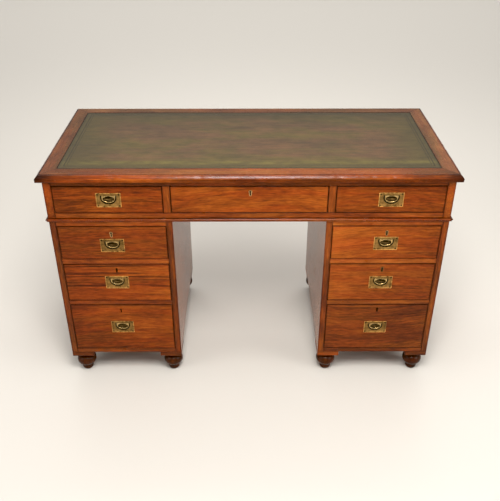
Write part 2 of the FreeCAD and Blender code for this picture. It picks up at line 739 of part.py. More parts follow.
def drawer(label, x0, x1, z0, z1, tails, handle_z=None, handle_x=0, key=None, key_z=None, key_x=0):
    """One drawer: front, dovetailed and grooved box, brassware.  z0 is the runner's top; handle_x
    and key_x are how far off the middle the brassware was let in."""
    xc = (x0 + x1) / 2
    fx0, fx1 = x0 + d.gap_side, x1 - d.gap_side
    fz0, fz1 = z0 + d.gap_under, z1 - d.gap_over
    back = YF + d.front_thick
    front = box(fx0, fx1, YF, back, fz0, fz1, "front")
    front = rounded(front, 0.9, lambda e: abs(e.BoundBox.YMax - YF.number) < 1e-6, "front_eased")
    sx = (x0 + d.side_play, x1 - d.side_play - d.lining)
    foot_z, side_top = z0 + d.drawer_lift, z1 - 7
    bottom_z = foot_z + d.bottom_up
    tools, sides = [], []
    pitch = (side_top.number - z0.number - 6) / tails
    for k, xs in enumerate(sx):
        wedges = []
        for n in range(tails):
            zc = z0 + 3 + pitch * (n + 0.5)
            half = pitch / 2 - 3.2
            w = doc.addObject("Part::Wedge", "dovetail")
            bind(
                w,
                Xmin=0, Xmax=d.lining, X2min=0, X2max=d.lining,
                Ymin=0, Ymax=d.tail_long, Zmin=-half, Zmax=half, Z2min=-(half - 2.4), Z2max=half - 2.4,
            )
            wedges.append(place(w, xs, back - d.tail_long, zc))
        groove_x = (xs + d.lining - d.groove, xs + d.lining + 1) if k == 0 else (xs - 1, xs + d.groove)
        groove = box(*groove_x, back - 20, d.drawer_back_at + 1, bottom_z, bottom_z + d.bottom_thick, "groove")
        board = box(xs, xs + d.lining, back, d.drawer_back_at, foot_z, side_top, "lining")
        sides.append(cut(fuse([board, *wedges], "tailed_side"), [groove], "drawer_side"))
        tools += wedges
    front_groove = box(
        sx[0] + d.lining - d.groove, sx[1] + d.groove, back - d.groove, back + 1,
        bottom_z, bottom_z + d.bottom_thick, "front_groove",
    )
    bottom = box(
        sx[0] + d.lining - d.groove + 0.1, sx[1] + d.groove - 0.1, back - d.groove + 0.1, d.drawer_back_at,
        bottom_z, bottom_z + d.bottom_thick, "drawer_bottom",
    )
    rear = box(
        sx[0] + d.lining, sx[1], d.drawer_back_at - d.lining, d.drawer_back_at,
        bottom_z + d.bottom_thick, side_top - 6, "drawer_back",
    )
    node(f"{label}_drawer_box", [*sides, rear, bottom])
    tools.append(front_groove)
    if handle_z is not None:
        tools += handle(label, xc + handle_x, Size.of(handle_z))
    if key is not None:
        tools += lock(label, xc + key_x, fz1, Size.of(key_z), key)
    node(f"{label}_drawer_front", [cut(front, tools, "drawer_front")])


a, b = d.divider_at + d.divider_thick / 2, inner
drawer("frieze_left", -b, -a, d.low_rail_top, d.high_rail_foot, 3, handle_z=692, handle_x=2.4)
drawer(
    "frieze_centre", -(d.divider_at - d.divider_thick / 2), d.divider_at - d.divider_thick / 2,
    d.low_rail_top, d.high_rail_foot, 3, key="escutcheon", key_z=715, key_x=3,
)
drawer("frieze_right", a, b, d.low_rail_top, d.high_rail_foot, 3, handle_z=692, handle_x=1)
p0, p1 = d.ped_inner + d.ped_side, d.ped_outer - d.ped_side
drawer(
    "left_upper", -p1, -p0, d.shelf_e, d.shelf_f, 4,
    handle_z=532, handle_x=-3.6, key="escutcheon", key_z=571.5, key_x=-3.5,
)
drawer(
    "left_middle", -p1, -p0, d.shelf_c, d.shelf_d, 5, handle_z=392, handle_x=-2.9, key="worn", key_z=438,
)
drawer(
    "left_lower", -p1, -p0, d.shelf_a, d.shelf_b, 6, handle_z=209, handle_x=-3, key="plain", key_z=277, key_x=-2,
)
drawer(
    "right_upper", p0, p1, d.shelf_e, d.shelf_f, 4, handle_z=538, handle_x=1.3, key="escutcheon", key_z=575.5, key_x=1,
)
drawer("right_middle", p0, p1, d.shelf_c, d.shelf_d, 5, handle_z=390, key="escutcheon", key_z=440)
drawer("right_lower", p0, p1, d.shelf_a, d.shelf_b, 6, handle_z=206, key="worn", key_z=278)

# ---------------------------------------------------------------- recompute, test, write
doc.recompute()
failed = [o.Name for o in doc.Objects if "Invalid" in o.State or "Error" in o.State]
if failed:
    raise SystemExit(f"failed objects: {failed}")
labels = [piece.Label for piece in NODES]
if len(set(labels)) != len(labels) or len(labels) > 60:
    raise SystemExit(f"labels repeat, or too many: {len(labels)}")
for piece in NODES:
    shape = piece.Shape
    if shape.isNull() or not shape.isValid() or not shape.Solids:
        raise SystemExit(f"{piece.Label}: bad shape")
    if any(s.Volume <= 0 for s in shape.Solids):
        raise SystemExit(f"{piece.Label}: a solid has no volume")
for old in os.listdir("parts"):
    if old.endswith(".step"):
        os.remove(os.path.join("parts", old))
for piece in NODES:
    piece.Shape.exportStep(os.path.join("parts", f"{piece.Label}.step"))
print(f"{len(NODES)} sub-parts written, {sum(len(p.Shape.Solids) for p in NODES)} solids")
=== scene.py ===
"""Looks of the pedestal desk: boards, mouldings, feet, leather, brass, floor, light and camera."""

import json
import math
import random

import bmesh
import bpy
import numpy as np
from mathutils import Euler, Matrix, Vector, noise


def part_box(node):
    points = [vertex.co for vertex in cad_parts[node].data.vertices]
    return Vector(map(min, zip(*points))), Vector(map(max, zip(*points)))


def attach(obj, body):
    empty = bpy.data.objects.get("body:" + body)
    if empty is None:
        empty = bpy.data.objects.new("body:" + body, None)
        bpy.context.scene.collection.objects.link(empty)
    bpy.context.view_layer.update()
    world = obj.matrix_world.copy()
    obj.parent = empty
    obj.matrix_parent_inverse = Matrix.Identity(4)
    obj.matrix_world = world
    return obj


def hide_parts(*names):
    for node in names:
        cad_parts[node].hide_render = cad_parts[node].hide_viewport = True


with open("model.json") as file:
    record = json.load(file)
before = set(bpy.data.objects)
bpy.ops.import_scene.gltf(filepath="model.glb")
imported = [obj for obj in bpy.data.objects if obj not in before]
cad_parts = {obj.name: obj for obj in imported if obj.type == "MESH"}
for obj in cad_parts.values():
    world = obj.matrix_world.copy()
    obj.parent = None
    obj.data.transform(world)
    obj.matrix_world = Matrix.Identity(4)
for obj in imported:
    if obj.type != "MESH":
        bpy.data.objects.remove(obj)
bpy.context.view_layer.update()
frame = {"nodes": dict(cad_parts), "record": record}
NODES = frame["nodes"]
BODY = {n: b for b, ns in frame["record"]["behaviour"]["bodies"].items() for n in ns}
AXES = {"X": (0, 1, 2), "Y": (1, 0, 2), "Z": (2, 0, 1)}


# ------------------------------------------------------------------ shader building
class Tree:
    """Short names for the nodes of one material."""

    def __init__(self, name):
        self.mat = bpy.data.materials.new(name)
        self.mat.use_nodes = True
        self.nodes, self.links = self.mat.node_tree.nodes, self.mat.node_tree.links
        self.nodes.clear()
        self.out = self.nodes.new("ShaderNodeOutputMaterial")

    def put(self, socket, value):
        if isinstance(value, bpy.types.NodeSocket):
            self.links.new(value, socket)
        elif value is not None:
            socket.default_value = value

    def add(self, kind, **props):
        n = self.nodes.new("ShaderNode" + kind)
        for k, v in props.items():
            setattr(n, k, v)
        return n

    def attr(self, name, what="Vector"):
        n = self.add("Attribute", attribute_name=name)
        return n.outputs[what]

    def math(self, op, a, b=None, c=None, clamp=False):
        n = self.add("Math", operation=op, use_clamp=clamp)
        for s, v in zip(n.inputs, (a, b, c)):
            self.put(s, v)
        return n.outputs[0]

    def vec(self, op, a, b=None):
        n = self.add("VectorMath", operation=op)
        self.put(n.inputs[0], a)
        if b is not None:
            self.put(n.inputs[3 if op == "SCALE" else 1], b)
        return n.outputs["Value" if op in ("LENGTH", "DISTANCE", "DOT_PRODUCT") else "Vector"]

    def xyz(self, v):
        n = self.add("SeparateXYZ")
        self.put(n.inputs[0], v)
        return n.outputs[0], n.outputs[1], n.outputs[2]

    def combine(self, x, y, z):
        n = self.add("CombineXYZ")
        for s, v in zip(n.inputs, (x, y, z)):
            self.put(s, v)
        return n.outputs[0]

    def noise(self, v, scale=1.0, detail=2.0, rough=0.5, distortion=0.0, out="Fac"):
        n = self.add("TexNoise")
        self.put(n.inputs["Vector"], v)
        n.inputs["Scale"].default_value = scale
        n.inputs["Detail"].default_value = detail
        n.inputs["Roughness"].default_value = rough
        n.inputs["Distortion"].default_value = distortion
        return n.outputs[out]

    def voronoi(self, v, scale, feature="F1", out="Distance"):
        n = self.add("TexVoronoi", feature=feature)
        self.put(n.inputs["Vector"], v)
        n.inputs["Scale"].default_value = scale
        return n.outputs[out]

    def ramp(self, fac, stops, smooth=False):
        n = self.add("ValToRGB")
        n.color_ramp.interpolation = "EASE" if smooth else "LINEAR"
        e = n.color_ramp.elements
        while len(e) < len(stops):
            e.new(0.5)
        for k, (pos, col) in zip(e, stops):
            k.position = pos
            k.color = (*col, 1) if hasattr(col, "__len__") else (col, col, col, 1)
        self.put(n.inputs[0], fac)
        return n.outputs["Color"]

    def span(self, v, lo, hi, to_lo=0.0, to_hi=1.0, smooth=True):
        n = self.add("MapRange", interpolation_type="SMOOTHSTEP" if smooth else "LINEAR")
        for s, q in zip(n.inputs, (v, lo, hi, to_lo, to_hi)):
            self.put(s, q)
        return n.outputs[0]

    def mix(self, fac, a, b, blend="MIX"):
        n = self.add("Mix", data_type="RGBA", blend_type=blend, clamp_result=False)
        self.put(n.inputs[0], fac)
        self.put(n.inputs[6], (*a, 1) if isinstance(a, tuple) and len(a) == 3 else a)
        self.put(n.inputs[7], (*b, 1) if isinstance(b, tuple) and len(b) == 3 else b)
        return n.outputs[2]

    def bump(self, height, strength, distance, normal=None):
        n = self.add("Bump")
        n.inputs["Strength"].default_value = strength
        n.inputs["Distance"].default_value = distance
        self.put(n.inputs["Height"], height)
        if normal is not None:
            self.put(n.inputs["Normal"], normal)
        return n.outputs[0]

    def principled(self, **values):
        n = self.add("BsdfPrincipled")
        for k, v in values.items():
            s = n.inputs[k.replace("_", " ")]
            if isinstance(v, tuple) and len(v) == 3 and s.type == "RGBA":
                v = (*v, 1)
            self.put(s, v)
        self.links.new(n.outputs[0], self.out.inputs[0])
        return n


def edge_distance(t, loc, half):
    """Metres from a point on a board's face to the nearest of its arrises."""
    a, b, c = t.xyz(t.vec("SUBTRACT", half, t.vec("ABSOLUTE", loc)))
    low, high = t.math("MINIMUM", a, b), t.math("MAXIMUM", a, b)
    return t.math("MAXIMUM", low, t.math("MINIMUM", high, c))


def wood(name, colours, rough=0.3, ior=1.38, spec=0.25, grime_and_shade=0.55, pore=0.5, fine=1.0, bare=False, moulded=False, line=0.0, front=False, dusk=0.0, sill=None):
    """Boards: loc is metres from the board's middle, x along the grain; half its half sizes;
    seed an offset; tone = (lighter or darker, strength of the stripes, towards grey-yellow);
    figure = (how the growth rings arch along the board, where the arch lies, cloudiness).
    moulded: a board of the top's border, with its soiling, painted shade and a painted highlight;
    line: how dark the last millimetre or two of a face is, painted shade as in the gap round a
    drawer front; front: a drawer front, with painted shade inside its holes; dusk: how much a face
    darkens towards its long edges, as painted shade; sill: how high above its foot a moulding meets
    a rail, with painted shade in the corner."""
    t = Tree(name)
    loc, half, seed, tone, figure = (t.attr(k) for k in ("loc", "half", "seed", "tone", "figure"))
    bright, stripe, yellow = t.xyz(tone)
    arch, arch_at, cloudy = t.xyz(figure)
    p = t.vec("ADD", loc, seed)
    wander = t.noise(t.vec("MULTIPLY", p, (2.2, 7.0, 7.0)), detail=2.0, out="Color")
    wander = t.vec("MULTIPLY", t.vec("SUBTRACT", wander, (0.5, 0.5, 0.5)), (0.0, 0.014, 0.014))
    along = t.math("SUBTRACT", t.xyz(loc)[0], arch_at)
    bend = t.math("MULTIPLY", t.math("MULTIPLY", along, along), arch)
    p1 = t.vec("ADD", t.vec("ADD", p, wander), t.combine(0.0, bend, 0.0))
    bands = t.noise(t.vec("MULTIPLY", p1, (1.3, 62.0, 62.0)), detail=2.0, rough=0.5)
    sharp = t.noise(t.vec("MULTIPLY", p1, (0.7, 130.0, 130.0)), detail=1.0, rough=0.4)
    lines = t.noise(t.vec("MULTIPLY", p1, (7.0, 330.0, 330.0)), detail=3.0, rough=0.65)
    fleck = t.noise(t.vec("MULTIPLY", p1, (36.0, 240.0, 240.0)), detail=3.0, rough=0.6)
    flame = t.noise(t.vec("MULTIPLY", p1, (9.0, 22.0, 22.0)), detail=4.0, rough=0.6, distortion=0.6)
    patch = t.noise(t.vec("MULTIPLY", p, (4.5, 9.0, 9.0)), detail=1.0, rough=0.5)
    mottle = t.noise(t.vec("MULTIPLY", p1, (15.0, 150.0, 150.0)), detail=3.0, rough=0.65)
    pores = t.noise(t.vec("MULTIPLY", p1, (55.0, 950.0, 950.0)), detail=2.0, rough=0.5)
    pores = t.span(pores, 0.56, 0.66)

    level = t.math("MULTIPLY", t.math("SUBTRACT", bands, 0.5), t.math("ADD", 0.16, t.math("MULTIPLY", stripe, 0.9)))
    level = t.math("ADD", level, t.math("MULTIPLY", t.math("SUBTRACT", lines, 0.5), 0.42 * fine))
    level = t.math("ADD", level, t.math("MULTIPLY", t.math("SUBTRACT", fleck, 0.5), 0.70 * fine))
    level = t.math("ADD", level, t.math("MULTIPLY", t.math("SUBTRACT", mottle, 0.5), 0.50 * fine))
    level = t.math("ADD", level, t.math("MULTIPLY", t.math("SUBTRACT", flame, 0.5), t.math("MULTIPLY", cloudy, 0.55)))
    level = t.math("ADD", level, t.math("MULTIPLY", t.math("SUBTRACT", patch, 0.5), t.math("MULTIPLY", cloudy, 0.60)))
    streak = t.math("SUBTRACT", 1.0, t.span(sharp, 0.33, 0.39))
    level = t.math("SUBTRACT", level, t.math("MULTIPLY", streak, t.math("MULTIPLY", stripe, 0.62)))
    level = t.math("ADD", t.math("ADD", level, 0.497), bright)
    colour = t.ramp(level, colours)
    colour = t.mix(t.math("MULTIPLY", pores, pore), colour, t.mix(1.0, colour, (0.46, 0.38, 0.34), "MULTIPLY"))
    # redder and more golden streaks
    ruddy = t.noise(t.vec("MULTIPLY", p1, (3.5, 30.0, 30.0)), detail=3.0, rough=0.6)
    colour = t.mix(t.span(ruddy, 0.40, 0.60), t.mix(1.0, colour, (1.01, 1.09, 1.08), "MULTIPLY"), t.mix(1.0, colour, (0.99, 0.86, 0.93), "MULTIPLY"))
    # greyer, yellower boards
    colour = t.mix(yellow, colour, t.mix(1.0, colour, (0.93, 1.42, 2.3), "MULTIPLY"))
    # old wax, soiling and painted shade along the arrises, rubbed bright on the arris itself
    edge = edge_distance(t, loc, half)
    smudge = t.noise(t.vec("MULTIPLY", p, (25.0, 60.0, 60.0)), detail=3.0)
    reach = t.math("ADD", 0.0020, t.math("MULTIPLY", smudge, 0.007 if front else 0.012))
    rim = t.math("SUBTRACT", 1.0, t.span(t.math("DIVIDE", edge, reach), 0.0, 1.0))
    colour = t.mix(t.math("MULTIPLY", rim, grime_and_shade), colour, t.mix(1.0, colour, (0.42, 0.33, 0.32), "MULTIPLY"))
    if dusk:
        # painted shade: the face darkens towards its long edges
        off = t.math("SUBTRACT", t.xyz(half)[1], t.math("ABSOLUTE", t.xyz(loc)[1]))
        off = t.math("SUBTRACT", 1.0, t.span(off, 0.0, t.math("ADD", 0.012, t.math("MULTIPLY", smudge, 0.028))))
        colour = t.mix(t.math("MULTIPLY", off, dusk), colour, t.mix(1.0, colour, (0.45, 0.38, 0.36), "MULTIPLY"))
    worn = t.math("MULTIPLY", t.math("LESS_THAN", edge, 0.0011), t.span(smudge, 0.50, 0.66))
    colour = t.mix(t.math("MULTIPLY", worn, 0.0 if bare or line else 0.35), colour, t.mix(1.0, colour, (1.6, 1.8, 2.0), "MULTIPLY"))
    if line:
        # painted shade of the gap: the last millimetre or two of the face darkened
        gap_shade = t.math("SUBTRACT", 1.0, t.span(edge, 0.0004, t.math("ADD", 0.0012, t.math("MULTIPLY", smudge, 0.0020))))
        colour = t.mix(t.math("MULTIPLY", gap_shade, line), colour, t.mix(1.0, colour, (0.16, 0.12, 0.12), "MULTIPLY"))
    if sill:
        # painted shade in the corner where the moulding meets the rail
        x, y, z = t.xyz(loc)
        hx, hy, hz = t.xyz(half)
        corner = t.math("SUBTRACT", 1.0, t.span(t.math("ADD", z, hz), sill + 0.0003, t.math("ADD", sill + 0.0008, t.math("MULTIPLY", smudge, 0.0020))))
        corner = t.math("MULTIPLY", corner, t.math("MULTIPLY", t.math("GREATER_THAN", hz, 0.012), t.math("GREATER_THAN", hx, 0.4)))
        colour = t.mix(t.math("MULTIPLY", corner, 0.70), colour, t.mix(1.0, colour, (0.25, 0.18, 0.17), "MULTIPLY"))
    if front:
        # painted shade inside the holes in the face
        x, y, z = t.xyz(t.vec("ABSOLUTE", loc))
        hx, hy, hz = t.xyz(half)
        within = t.math("GREATER_THAN", t.math("MINIMUM", t.math("SUBTRACT", hx, x), t.math("SUBTRACT", hy, y)), 0.003)
        hole_shade = t.math("MULTIPLY", within, t.span(t.math("SUBTRACT", hz, z), 0.0004, 0.0016))
        colour = t.mix(hole_shade, colour, (0.012, 0.005, 0.003))
    if moulded:
        # painted shade in the quirk and in a line under the nose; darker on the upright below the moulding away from
        # the left end; soiling at the mitres and along the inner edge; darker on the corners' tips
        x, across, up = t.xyz(loc)
        long, wide, _ = t.xyz(half)
        away_from_left_end = t.span(x, -0.26, -0.10)
        x = t.math("ABSOLUTE", x)
        inward = t.math("SUBTRACT", wide, across)
        quirk = t.math("SUBTRACT", 1.0, t.span(t.math("ABSOLUTE", t.math("SUBTRACT", inward, 0.0134)), 0.0004, 0.0018))
        mitre = t.math("SUBTRACT", t.math("ADD", t.math("SUBTRACT", long, wide), across), x)
        joint = t.math("SUBTRACT", 1.0, t.span(mitre, 0.0002, t.math("ADD", 0.0008, t.math("MULTIPLY", smudge, 0.0016))))
        inner = t.math("SUBTRACT", 1.0, t.span(t.math("ADD", across, wide), 0.0004, t.math("ADD", 0.0014, t.math("MULTIPLY", smudge, 0.0030))))
        face = t.math("LESS_THAN", inward, 0.0008)
        upright = t.math("MULTIPLY", face, t.math("SUBTRACT", 1.0, t.span(up, -0.0004, 0.0012)))
        nose_shadow_line = t.math("MULTIPLY", face, t.math("SUBTRACT", 1.0, t.span(t.math("ABSOLUTE", up), 0.0010, 0.0026)))
        tips = t.math("MULTIPLY", t.math("LESS_THAN", inward, 0.0134), t.span(mitre, 0.075, 0.0))
        dirt_and_shade = t.math("MAXIMUM", t.math("MULTIPLY", quirk, 0.62), t.math("MULTIPLY", joint, 0.75))
        dirt_and_shade = t.math("MAXIMUM", dirt_and_shade, t.math("MULTIPLY", t.math("MULTIPLY", upright, away_from_left_end), 0.45))
        dirt_and_shade = t.math("MAXIMUM", dirt_and_shade, t.math("MULTIPLY", t.math("MULTIPLY", nose_shadow_line, away_from_left_end), 0.80))
        dirt_and_shade = t.math("MAXIMUM", dirt_and_shade, t.math("MAXIMUM", t.math("MULTIPLY", tips, 0.78), t.math("MULTIPLY", inner, 0.80)))
        colour = t.mix(dirt_and_shade, colour, t.mix(1.0, colour, (0.22, 0.18, 0.20), "MULTIPLY"))
        # painted highlight on the nose of the moulding, laid on as paler wood
        nose = t.math("MULTIPLY", t.math("LESS_THAN", inward, 0.0024), t.math("MULTIPLY", t.span(up, -0.0024, -0.0012), t.span(up, 0.0024, 0.0004)))
        nose = t.math("MULTIPLY", nose, t.span(smudge, 0.30, 0.55, 0.45, 1.0))
        colour = t.mix(t.math("MULTIPLY", nose, t.math("SUBTRACT", 0.85, tips)), colour, t.mix(1.0, colour, (1.65, 2.1, 2.9), "MULTIPLY"))

    shine = t.noise(t.vec("MULTIPLY", p, (18.0, 26.0, 26.0)), detail=3.0, rough=0.6)
    roughness = t.math("ADD", rough - 0.07, t.math("MULTIPLY", shine, 0.14))
    roughness = t.math("ADD", roughness, t.math("MULTIPLY", pores, 0.12))
    height = t.math("SUBTRACT", t.math("MULTIPLY", lines, 0.5), t.math("MULTIPLY", pores, 0.6))
    ripple = t.noise(t.vec("MULTIPLY", p, (6.0, 14.0, 14.0)), detail=2.0)
    normal = t.bump(ripple, 0.30 if not bare else 0.15, 0.0010)
    normal = t.bump(height, 0.25 if not bare else 0.5, 0.00022, normal)
    t.principled(Base_Color=colour, Roughness=roughness, IOR=ior, Specular_IOR_Level=spec, Normal=normal)
    return t.mat


MAHOGANY = [(0.0, (0.040, 0.0080, 0.0018)), (0.3, (0.118, 0.0225, 0.0030)), (0.55, (0.228, 0.0445, 0.0046)),
            (0.8, (0.345, 0.0760, 0.0080)), (1.0, (0.460, 0.1150, 0.0150))]
PATINA = [(0.0, (0.036, 0.0105, 0.0030)), (0.3, (0.092, 0.0275, 0.0070)), (0.55, (0.160, 0.0450, 0.0100)),
          (0.8, (0.250, 0.0760, 0.0160)), (1.0, (0.380, 0.1350, 0.0320))]
DARK = [(0.0, (0.018, 0.0045, 0.0016)), (0.4, (0.058, 0.0130, 0.0030)), (0.7, (0.110, 0.0270, 0.0055)),
        (1.0, (0.190, 0.0520, 0.0110))]
KNEE = [(0.0, (0.035, 0.0100, 0.0025)), (0.3, (0.092, 0.0225, 0.0045)), (0.55, (0.165, 0.0415, 0.0072)),
        (0.8, (0.240, 0.0680, 0.0125)), (1.0, (0.330, 0.1080, 0.0240))]
PALE = [(0.0, (0.12, 0.056, 0.022)), (0.4, (0.25, 0.132, 0.058)), (0.7, (0.36, 0.207, 0.099)),
        (1.0, (0.48, 0.305, 0.160))]

carcass_wood = wood("carcass_wood", MAHOGANY, rough=0.30, grime_and_shade=0.40, line=0.35)
rail_wood = wood("rail_wood", MAHOGANY, rough=0.30, grime_and_shade=0.40, line=0.85, sill=0.0115)
panel_wood = wood("panel_wood", MAHOGANY, rough=0.34, ior=1.42, spec=0.35)
knee_wood = wood("knee_wood", KNEE, rough=0.24, ior=1.42, spec=0.50, fine=0.9)
stile_wood = wood("stile_wood", MAHOGANY, rough=0.36, spec=0.25, line=0.45, grime_and_shade=0.65)
drawer_wood = wood("drawer_wood", MAHOGANY, rough=0.34, spec=0.20, grime_and_shade=0.42, line=0.88, front=True, fine=1.05)
frieze_wood = wood("frieze_wood", MAHOGANY, rough=0.34, spec=0.20, grime_and_shade=0.42, line=0.88, front=True, dusk=0.32, fine=1.15)
border_wood = wood("border_wood", PATINA, rough=0.27, ior=1.42, spec=0.28, grime_and_shade=0.25, fine=0.62, moulded=True)
edge_wood = wood("edge_wood", MAHOGANY, rough=0.25, ior=1.5, spec=0.24, grime_and_shade=0.15, fine=0.8, moulded=True)
upright_wood = wood("upright_wood", MAHOGANY, rough=0.28, spec=0.20, grime_and_shade=0.15, fine=0.8, moulded=True)
bead_wood = wood("bead_wood", MAHOGANY, rough=0.25, ior=1.45, spec=0.34, line=0.8)
turned_wood = wood("turned_wood", DARK, rough=0.26, spec=0.2, grime_and_shade=0.2)
lining_wood = wood("lining_wood", PALE, rough=0.62, ior=1.4, pore=0.35, grime_and_shade=0.5, bare=True)
SLOT = {"carcass_wood": carcass_wood, "drawer_wood": drawer_wood, "turned_wood": turned_wood, "lining_wood": lining_wood}


def brass(name, base, rough, plate=False, lock=False, bail=False):
    """Aged brass.  loc is metres from the fitting's middle (x across, y up, z into the drawer);
    tone.x is 1 on screws.  Tarnish lies in patches, and tarnish with painted shade in the hollows; edges are rubbed."""
    t = Tree(name)
    loc, seed, tone, half = t.attr("loc"), t.attr("seed"), t.attr("tone"), t.attr("half")
    x, y, z = t.xyz(loc)
    screw, bright, _ = t.xyz(tone)
    p = t.vec("ADD", loc, seed)
    cloud = t.noise(t.vec("SCALE", p, 75.0), detail=4.0, rough=0.65)
    speck = t.noise(t.vec("SCALE", p, 520.0), detail=3.0, rough=0.6)
    scratch = t.noise(t.vec("MULTIPLY", p, (240.0, 1900.0, 900.0)), detail=2.0)
    colour = t.ramp(cloud, [(0.28, tuple(c * q for c, q in zip(base, (0.42, 0.42, 0.40)))), (0.5, base),
                            (0.72, tuple(min(1, c * q) for c, q in zip(base, (1.50, 1.50, 1.50))))])
    colour = t.mix(t.math("MULTIPLY", t.span(speck, 0.50, 0.66), 0.7), colour, t.mix(1.0, colour, (0.55, 0.47, 0.34), "MULTIPLY"))
    # painted shade: ambient occlusion darkens the hollows along with their tarnish
    ao = t.add("AmbientOcclusion", samples=8, only_local=False)
    ao.inputs["Distance"].default_value = 0.006
    closed = t.math("SUBTRACT", 1.0, t.span(ao.outputs["AO"], 0.35, 0.95))
    tarnish_and_shade = closed
    if plate:
        # rubbed rim of the plate, an old line of polish round it, a painted highlight on its lower part, and painted
        # shade on everything below the face
        rim = t.math("MINIMUM", t.math("SUBTRACT", 0.038, t.math("ABSOLUTE", x)), t.math("SUBTRACT", 0.024, t.math("ABSOLUTE", y)))
        line = t.math("SUBTRACT", 1.0, t.span(t.math("ABSOLUTE", t.math("SUBTRACT", rim, 0.0052)), 0.0003, 0.0011))
        colour = t.mix(t.math("MULTIPLY", line, 0.45), colour, t.mix(1.0, colour, (0.5, 0.42, 0.3), "MULTIPLY"))
        edge = t.math("MULTIPLY", t.math("SUBTRACT", 1.0, t.span(rim, 0.0010, 0.0028)), t.span(cloud, 0.36, 0.52))
        colour = t.mix(edge, colour, t.mix(1.0, colour, (2.3, 2.1, 1.8), "MULTIPLY"))
        # painted highlight on the plate's lower part
        low = t.math("MULTIPLY", t.span(y, -0.010, -0.019), t.span(cloud, 0.30, 0.55))
        colour = t.mix(low, colour, t.mix(1.0, colour, (1.45, 1.42, 1.40), "MULTIPLY"))
        colour = t.mix(bright, colour, t.mix(1.0, colour, (1.60, 1.60, 1.60), "MULTIPLY"))
        # painted shade on the face along the curve of the bail's seat
        fall = t.math("DIVIDE", t.math("MINIMUM", t.math("SUBTRACT", y, 0.007), 0.0), 0.0205)
        curve = t.vec("LENGTH", t.combine(t.math("DIVIDE", x, 0.0238), fall, 0.0))
        ring = t.math("MULTIPLY", t.math("SUBTRACT", 1.0, t.span(curve, 1.005, 1.075)), t.span(y, 0.0158, 0.0148))
        ring = t.math("MULTIPLY", ring, t.math("LESS_THAN", z, 0.0006))
        colour = t.mix(t.math("MULTIPLY", ring, 0.80), colour, (0.030, 0.016, 0.006))
        # painted shade in the bowl, darkest at its top
        bowl_shade = t.span(y, -0.006, 0.004, 0.50, 0.94)
        deep = t.math("MULTIPLY", t.span(z, 0.0006, 0.0020), t.span(z, 0.0053, 0.0060, 0.97, bowl_shade))
        tarnish_and_shade = t.math("MAXIMUM", deep, t.math("MULTIPLY", closed, 0.8))
        tarnish_and_shade = t.math("MAXIMUM", tarnish_and_shade, t.math("MULTIPLY", screw, 0.72))
    if bail:
        # painted shade round the bail's outer edge
        fall = t.math("DIVIDE", t.math("MINIMUM", t.math("SUBTRACT", y, 0.0049), 0.0), 0.0172)
        curve = t.vec("LENGTH", t.combine(t.math("DIVIDE", x, 0.0212), fall, 0.0))
        colour = t.mix(t.math("MULTIPLY", t.span(curve, 0.93, 0.99), 0.75), colour, (0.050, 0.028, 0.010))
    if lock:
        # a tarnished ring, and painted shade inside the keyhole
        colour = t.mix(screw, colour, (0.100, 0.040, 0.010))
        near = t.math("MULTIPLY", t.math("LESS_THAN", t.math("ABSOLUTE", x), 0.0075), t.math("LESS_THAN", t.math("ABSOLUTE", y), 0.013))
        inside = t.math("MULTIPLY", t.math("MULTIPLY", near, t.span(z, 0.0007, 0.0014)), t.math("LESS_THAN", z, 0.016))
        tarnish_and_shade = t.math("MAXIMUM", t.math("MULTIPLY", inside, 0.98), t.math("MULTIPLY", closed, 0.9))
    colour = t.mix(tarnish_and_shade, colour, (0.020, 0.014, 0.006) if not lock else (0.010, 0.005, 0.003))
    r = t.math("ADD", rough - 0.1, t.math("MULTIPLY", cloud, 0.2))
    r = t.math("ADD", r, t.math("MULTIPLY", tarnish_and_shade, 0.25))
    normal = t.bump(t.math("ADD", t.math("MULTIPLY", speck, 0.5), t.math("MULTIPLY", scratch, 0.5)), 0.22, 0.0002)
    normal = t.bump(cloud, 0.25, 0.0012, normal)
    t.principled(Base_Color=colour, Metallic=0.92, Roughness=r, Normal=normal)
    return t.mat


plate_brass = brass("plate_brass", (0.214, 0.121, 0.0375), 0.34, plate=True)
bail_brass = brass("bail_brass", (0.47, 0.315, 0.125), 0.24, bail=True)
lock_brass = brass("lock_brass", (0.46, 0.29, 0.125), 0.34, lock=True)


# ------------------------------------------------------------------ pieces from the frame's solids
def solids(node):
    """The node's separate closed solids, as (points, triangles), in the order they were packed."""
    me = NODES[node].data
    me.calc_loop_triangles()
    co = np.zeros(len(me.vertices) * 3)
    me.vertices.foreach_get("co", co)
    co = co.reshape(-1, 3)
    tris = np.zeros(len(me.loop_triangles) * 3, int)
    me.loop_triangles.foreach_get("vertices", tris)
    tris = tris.reshape(-1, 3)
    keys = [tuple(k) for k in np.round(co * 1e6).astype(np.int64).tolist()]
    parent = list(range(len(co)))

    def root(i):
        while parent[i] != i:
            parent[i] = parent[parent[i]]
            i = parent[i]
        return i

    for a, b, c in tris.tolist():
        parent[root(a)] = parent[root(b)] = root(c)
    patches = {}
    for tri in tris.tolist():
        patches.setdefault(root(tri[0]), []).append(tri)
    out, open_edges, held = [], set(), []
    for patch in patches.values():
        held += patch
        for tri in patch:
            k = [keys[i] for i in tri]
            if len(set(k)) == 3:
                for e in ((k[0], k[1]), (k[1], k[2]), (k[2], k[0])):
                    open_edges ^= {frozenset(e)}
        if not open_edges:
            index, points, faces = {}, [], []
            for tri in held:
                f = []
                for i in tri:
                    if keys[i] not in index:
                        index[keys[i]] = len(points)
                        points.append(co[i])
                    f.append(index[keys[i]])
                if len(set(f)) == 3:
                    faces.append(f)
            out.append((np.array(points), faces))
            held = []
    if held:
        raise SystemExit(f"{node}: {len(held)} triangles close no solid")
    return out


